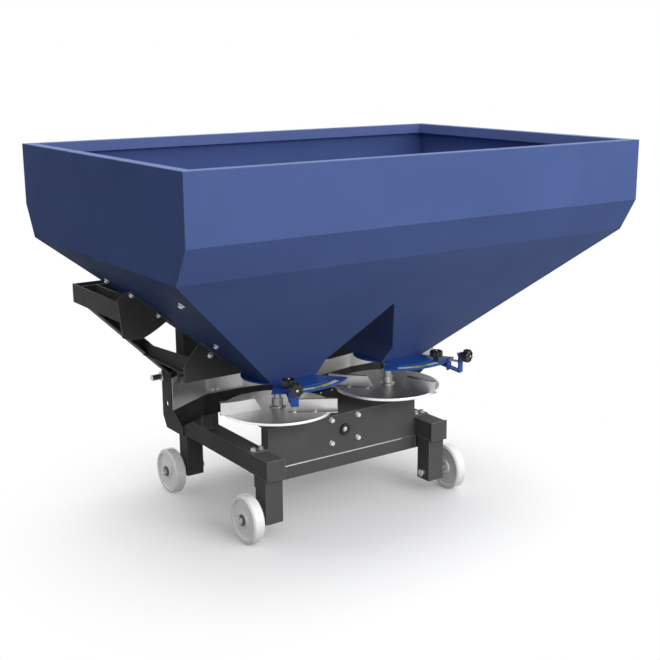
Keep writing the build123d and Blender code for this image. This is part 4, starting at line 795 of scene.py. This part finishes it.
# Camera: fitted to the photograph
CAMERA_PLACE, CAMERA_TURN = (-2.658, -3.863, 1.922), (34.42192, 13.74552, -0.33949)
FOCAL_PIXELS, IMAGE_PIXELS, SENSOR = 1139.717, 660, 36.0
yaw, pitch, roll = (math.radians(angle) for angle in CAMERA_TURN)
ahead = Vector((math.sin(yaw) * math.cos(pitch), math.cos(yaw) * math.cos(pitch), -math.sin(pitch)))
level = Vector((math.cos(yaw), -math.sin(yaw), 0.0))
above = level.cross(ahead)
right = level * math.cos(roll) + above * math.sin(roll)
up = above * math.cos(roll) - level * math.sin(roll)
camera = bpy.data.cameras.new("camera")
camera.sensor_width = SENSOR
camera.lens = SENSOR * FOCAL_PIXELS / IMAGE_PIXELS
camera_object = bpy.data.objects.new("camera", camera)
scene.collection.objects.link(camera_object)
facing = Matrix((right, up, -ahead)).transposed().to_4x4()
camera_object.matrix_world = Matrix.Translation(CAMERA_PLACE) @ facing
scene.camera = camera_object


# Background: white to the camera and in reflections
def background_rays(tree):
    """1 for rays that show the background: from the camera, off metal or through glass."""
    path = tree.nodes.new("ShaderNodeLightPath")
    result = path.outputs["Is Camera Ray"]
    for kind in ("Is Glossy Ray", "Is Transmission Ray"):
        either = tree.nodes.new("ShaderNodeMath")
        either.operation = "MAXIMUM"
        tree.links.new(result, either.inputs[0])
        tree.links.new(path.outputs[kind], either.inputs[1])
        result = either.outputs["Value"]
    return result


# Floor: pale under the object, fading to white round it, with a duller bounce
FLOOR_HALF, FADE_START, FADE_END = 40.0, 0.45, 1.5
FLOOR_PALE, FLOOR_BOUNCE = (0.93, 0.93, 0.93, 1.0), (0.08, 0.08, 0.082, 1.0)
floor_mesh = bpy.data.meshes.new("floor")
corners = [(x * FLOOR_HALF, y * FLOOR_HALF, 0) for x, y in ((-1, -1), (1, -1), (1, 1), (-1, 1))]
floor_mesh.from_pydata(corners, [], [(0, 1, 2, 3)])
floor = bpy.data.objects.new("floor", floor_mesh)
scene.collection.objects.link(floor)
floor_mat = bpy.data.materials.new("floor")
floor_mat.use_nodes = True
tree = floor_mat.node_tree
tree.nodes.clear()
out = tree.nodes.new("ShaderNodeOutputMaterial")
pale = tree.nodes.new("ShaderNodeBsdfDiffuse")
pale.inputs["Color"].default_value = FLOOR_PALE
dull = tree.nodes.new("ShaderNodeBsdfDiffuse")
dull.inputs["Color"].default_value = FLOOR_BOUNCE
white = tree.nodes.new("ShaderNodeEmission")
in_view = background_rays(tree)
seen = tree.nodes.new("ShaderNodeMixShader")
tree.links.new(in_view, seen.inputs["Fac"])
tree.links.new(dull.outputs["BSDF"], seen.inputs[1])
tree.links.new(pale.outputs["BSDF"], seen.inputs[2])
where = tree.nodes.new("ShaderNodeTexCoord")
reach = tree.nodes.new("ShaderNodeVectorMath")
reach.operation = "LENGTH"
tree.links.new(where.outputs["Object"], reach.inputs[0])
fade = spread(tree, reach.outputs["Value"], 0.0, 1.0, FADE_START, FADE_END)
shown = tree.nodes.new("ShaderNodeMath")
shown.operation = "MULTIPLY"
tree.links.new(fade, shown.inputs[0])
tree.links.new(in_view, shown.inputs[1])
far = tree.nodes.new("ShaderNodeMixShader")
tree.links.new(shown.outputs["Value"], far.inputs["Fac"])
tree.links.new(seen.outputs["Shader"], far.inputs[1])
tree.links.new(white.outputs["Emission"], far.inputs[2])
tree.links.new(far.outputs["Shader"], out.inputs["Surface"])
floor_mesh.materials.append(floor_mat)

# World: white as background, and a softer light that is stronger from above and from the rear right
BRIGHT_WAY, LIGHT_LOW, LIGHT_HIGH = (0.55, -0.55, 0.63), 0.35, 1.10
AWAY, FACING = -0.5, 0.8
world = bpy.data.worlds.new("studio")
scene.world = world
world.use_nodes = True
tree = world.node_tree
sky = tree.nodes["Background"]
sky_way = tree.nodes.new("ShaderNodeTexCoord")
towards = tree.nodes.new("ShaderNodeVectorMath")
towards.operation = "DOT_PRODUCT"
towards.inputs[1].default_value = BRIGHT_WAY
tree.links.new(sky_way.outputs["Generated"], towards.inputs[0])
plain = tree.nodes.new("ShaderNodeMix")
plain.inputs["B"].default_value = 1.0
tree.links.new(background_rays(tree), plain.inputs["Factor"])
soft_light = spread(tree, towards.outputs["Value"], LIGHT_LOW, LIGHT_HIGH, AWAY, FACING)
tree.links.new(soft_light, plain.inputs["A"])
sky.inputs["Color"].default_value = (1.0, 1.0, 1.0, 1.0)
tree.links.new(plain.outputs["Result"], sky.inputs["Strength"])


def softbox(name, place, target, size, power):
    light = bpy.data.lights.new(name, "AREA")
    light.shape = "RECTANGLE"
    light.size, light.size_y = size
    light.energy = power
    obj = bpy.data.objects.new(name, light)
    scene.collection.objects.link(obj)
    obj.matrix_world = frame_at(place, Vector(place) - Vector(target))


softbox("key", place=(0.9, -4.7, 2.4), target=(0, 0, 0.9), size=(3.5, 2.5), power=126)
softbox("top", place=(0.5, 0.5, 5.0), target=(0, 0, 1.0), size=(4.0, 4.0), power=135)
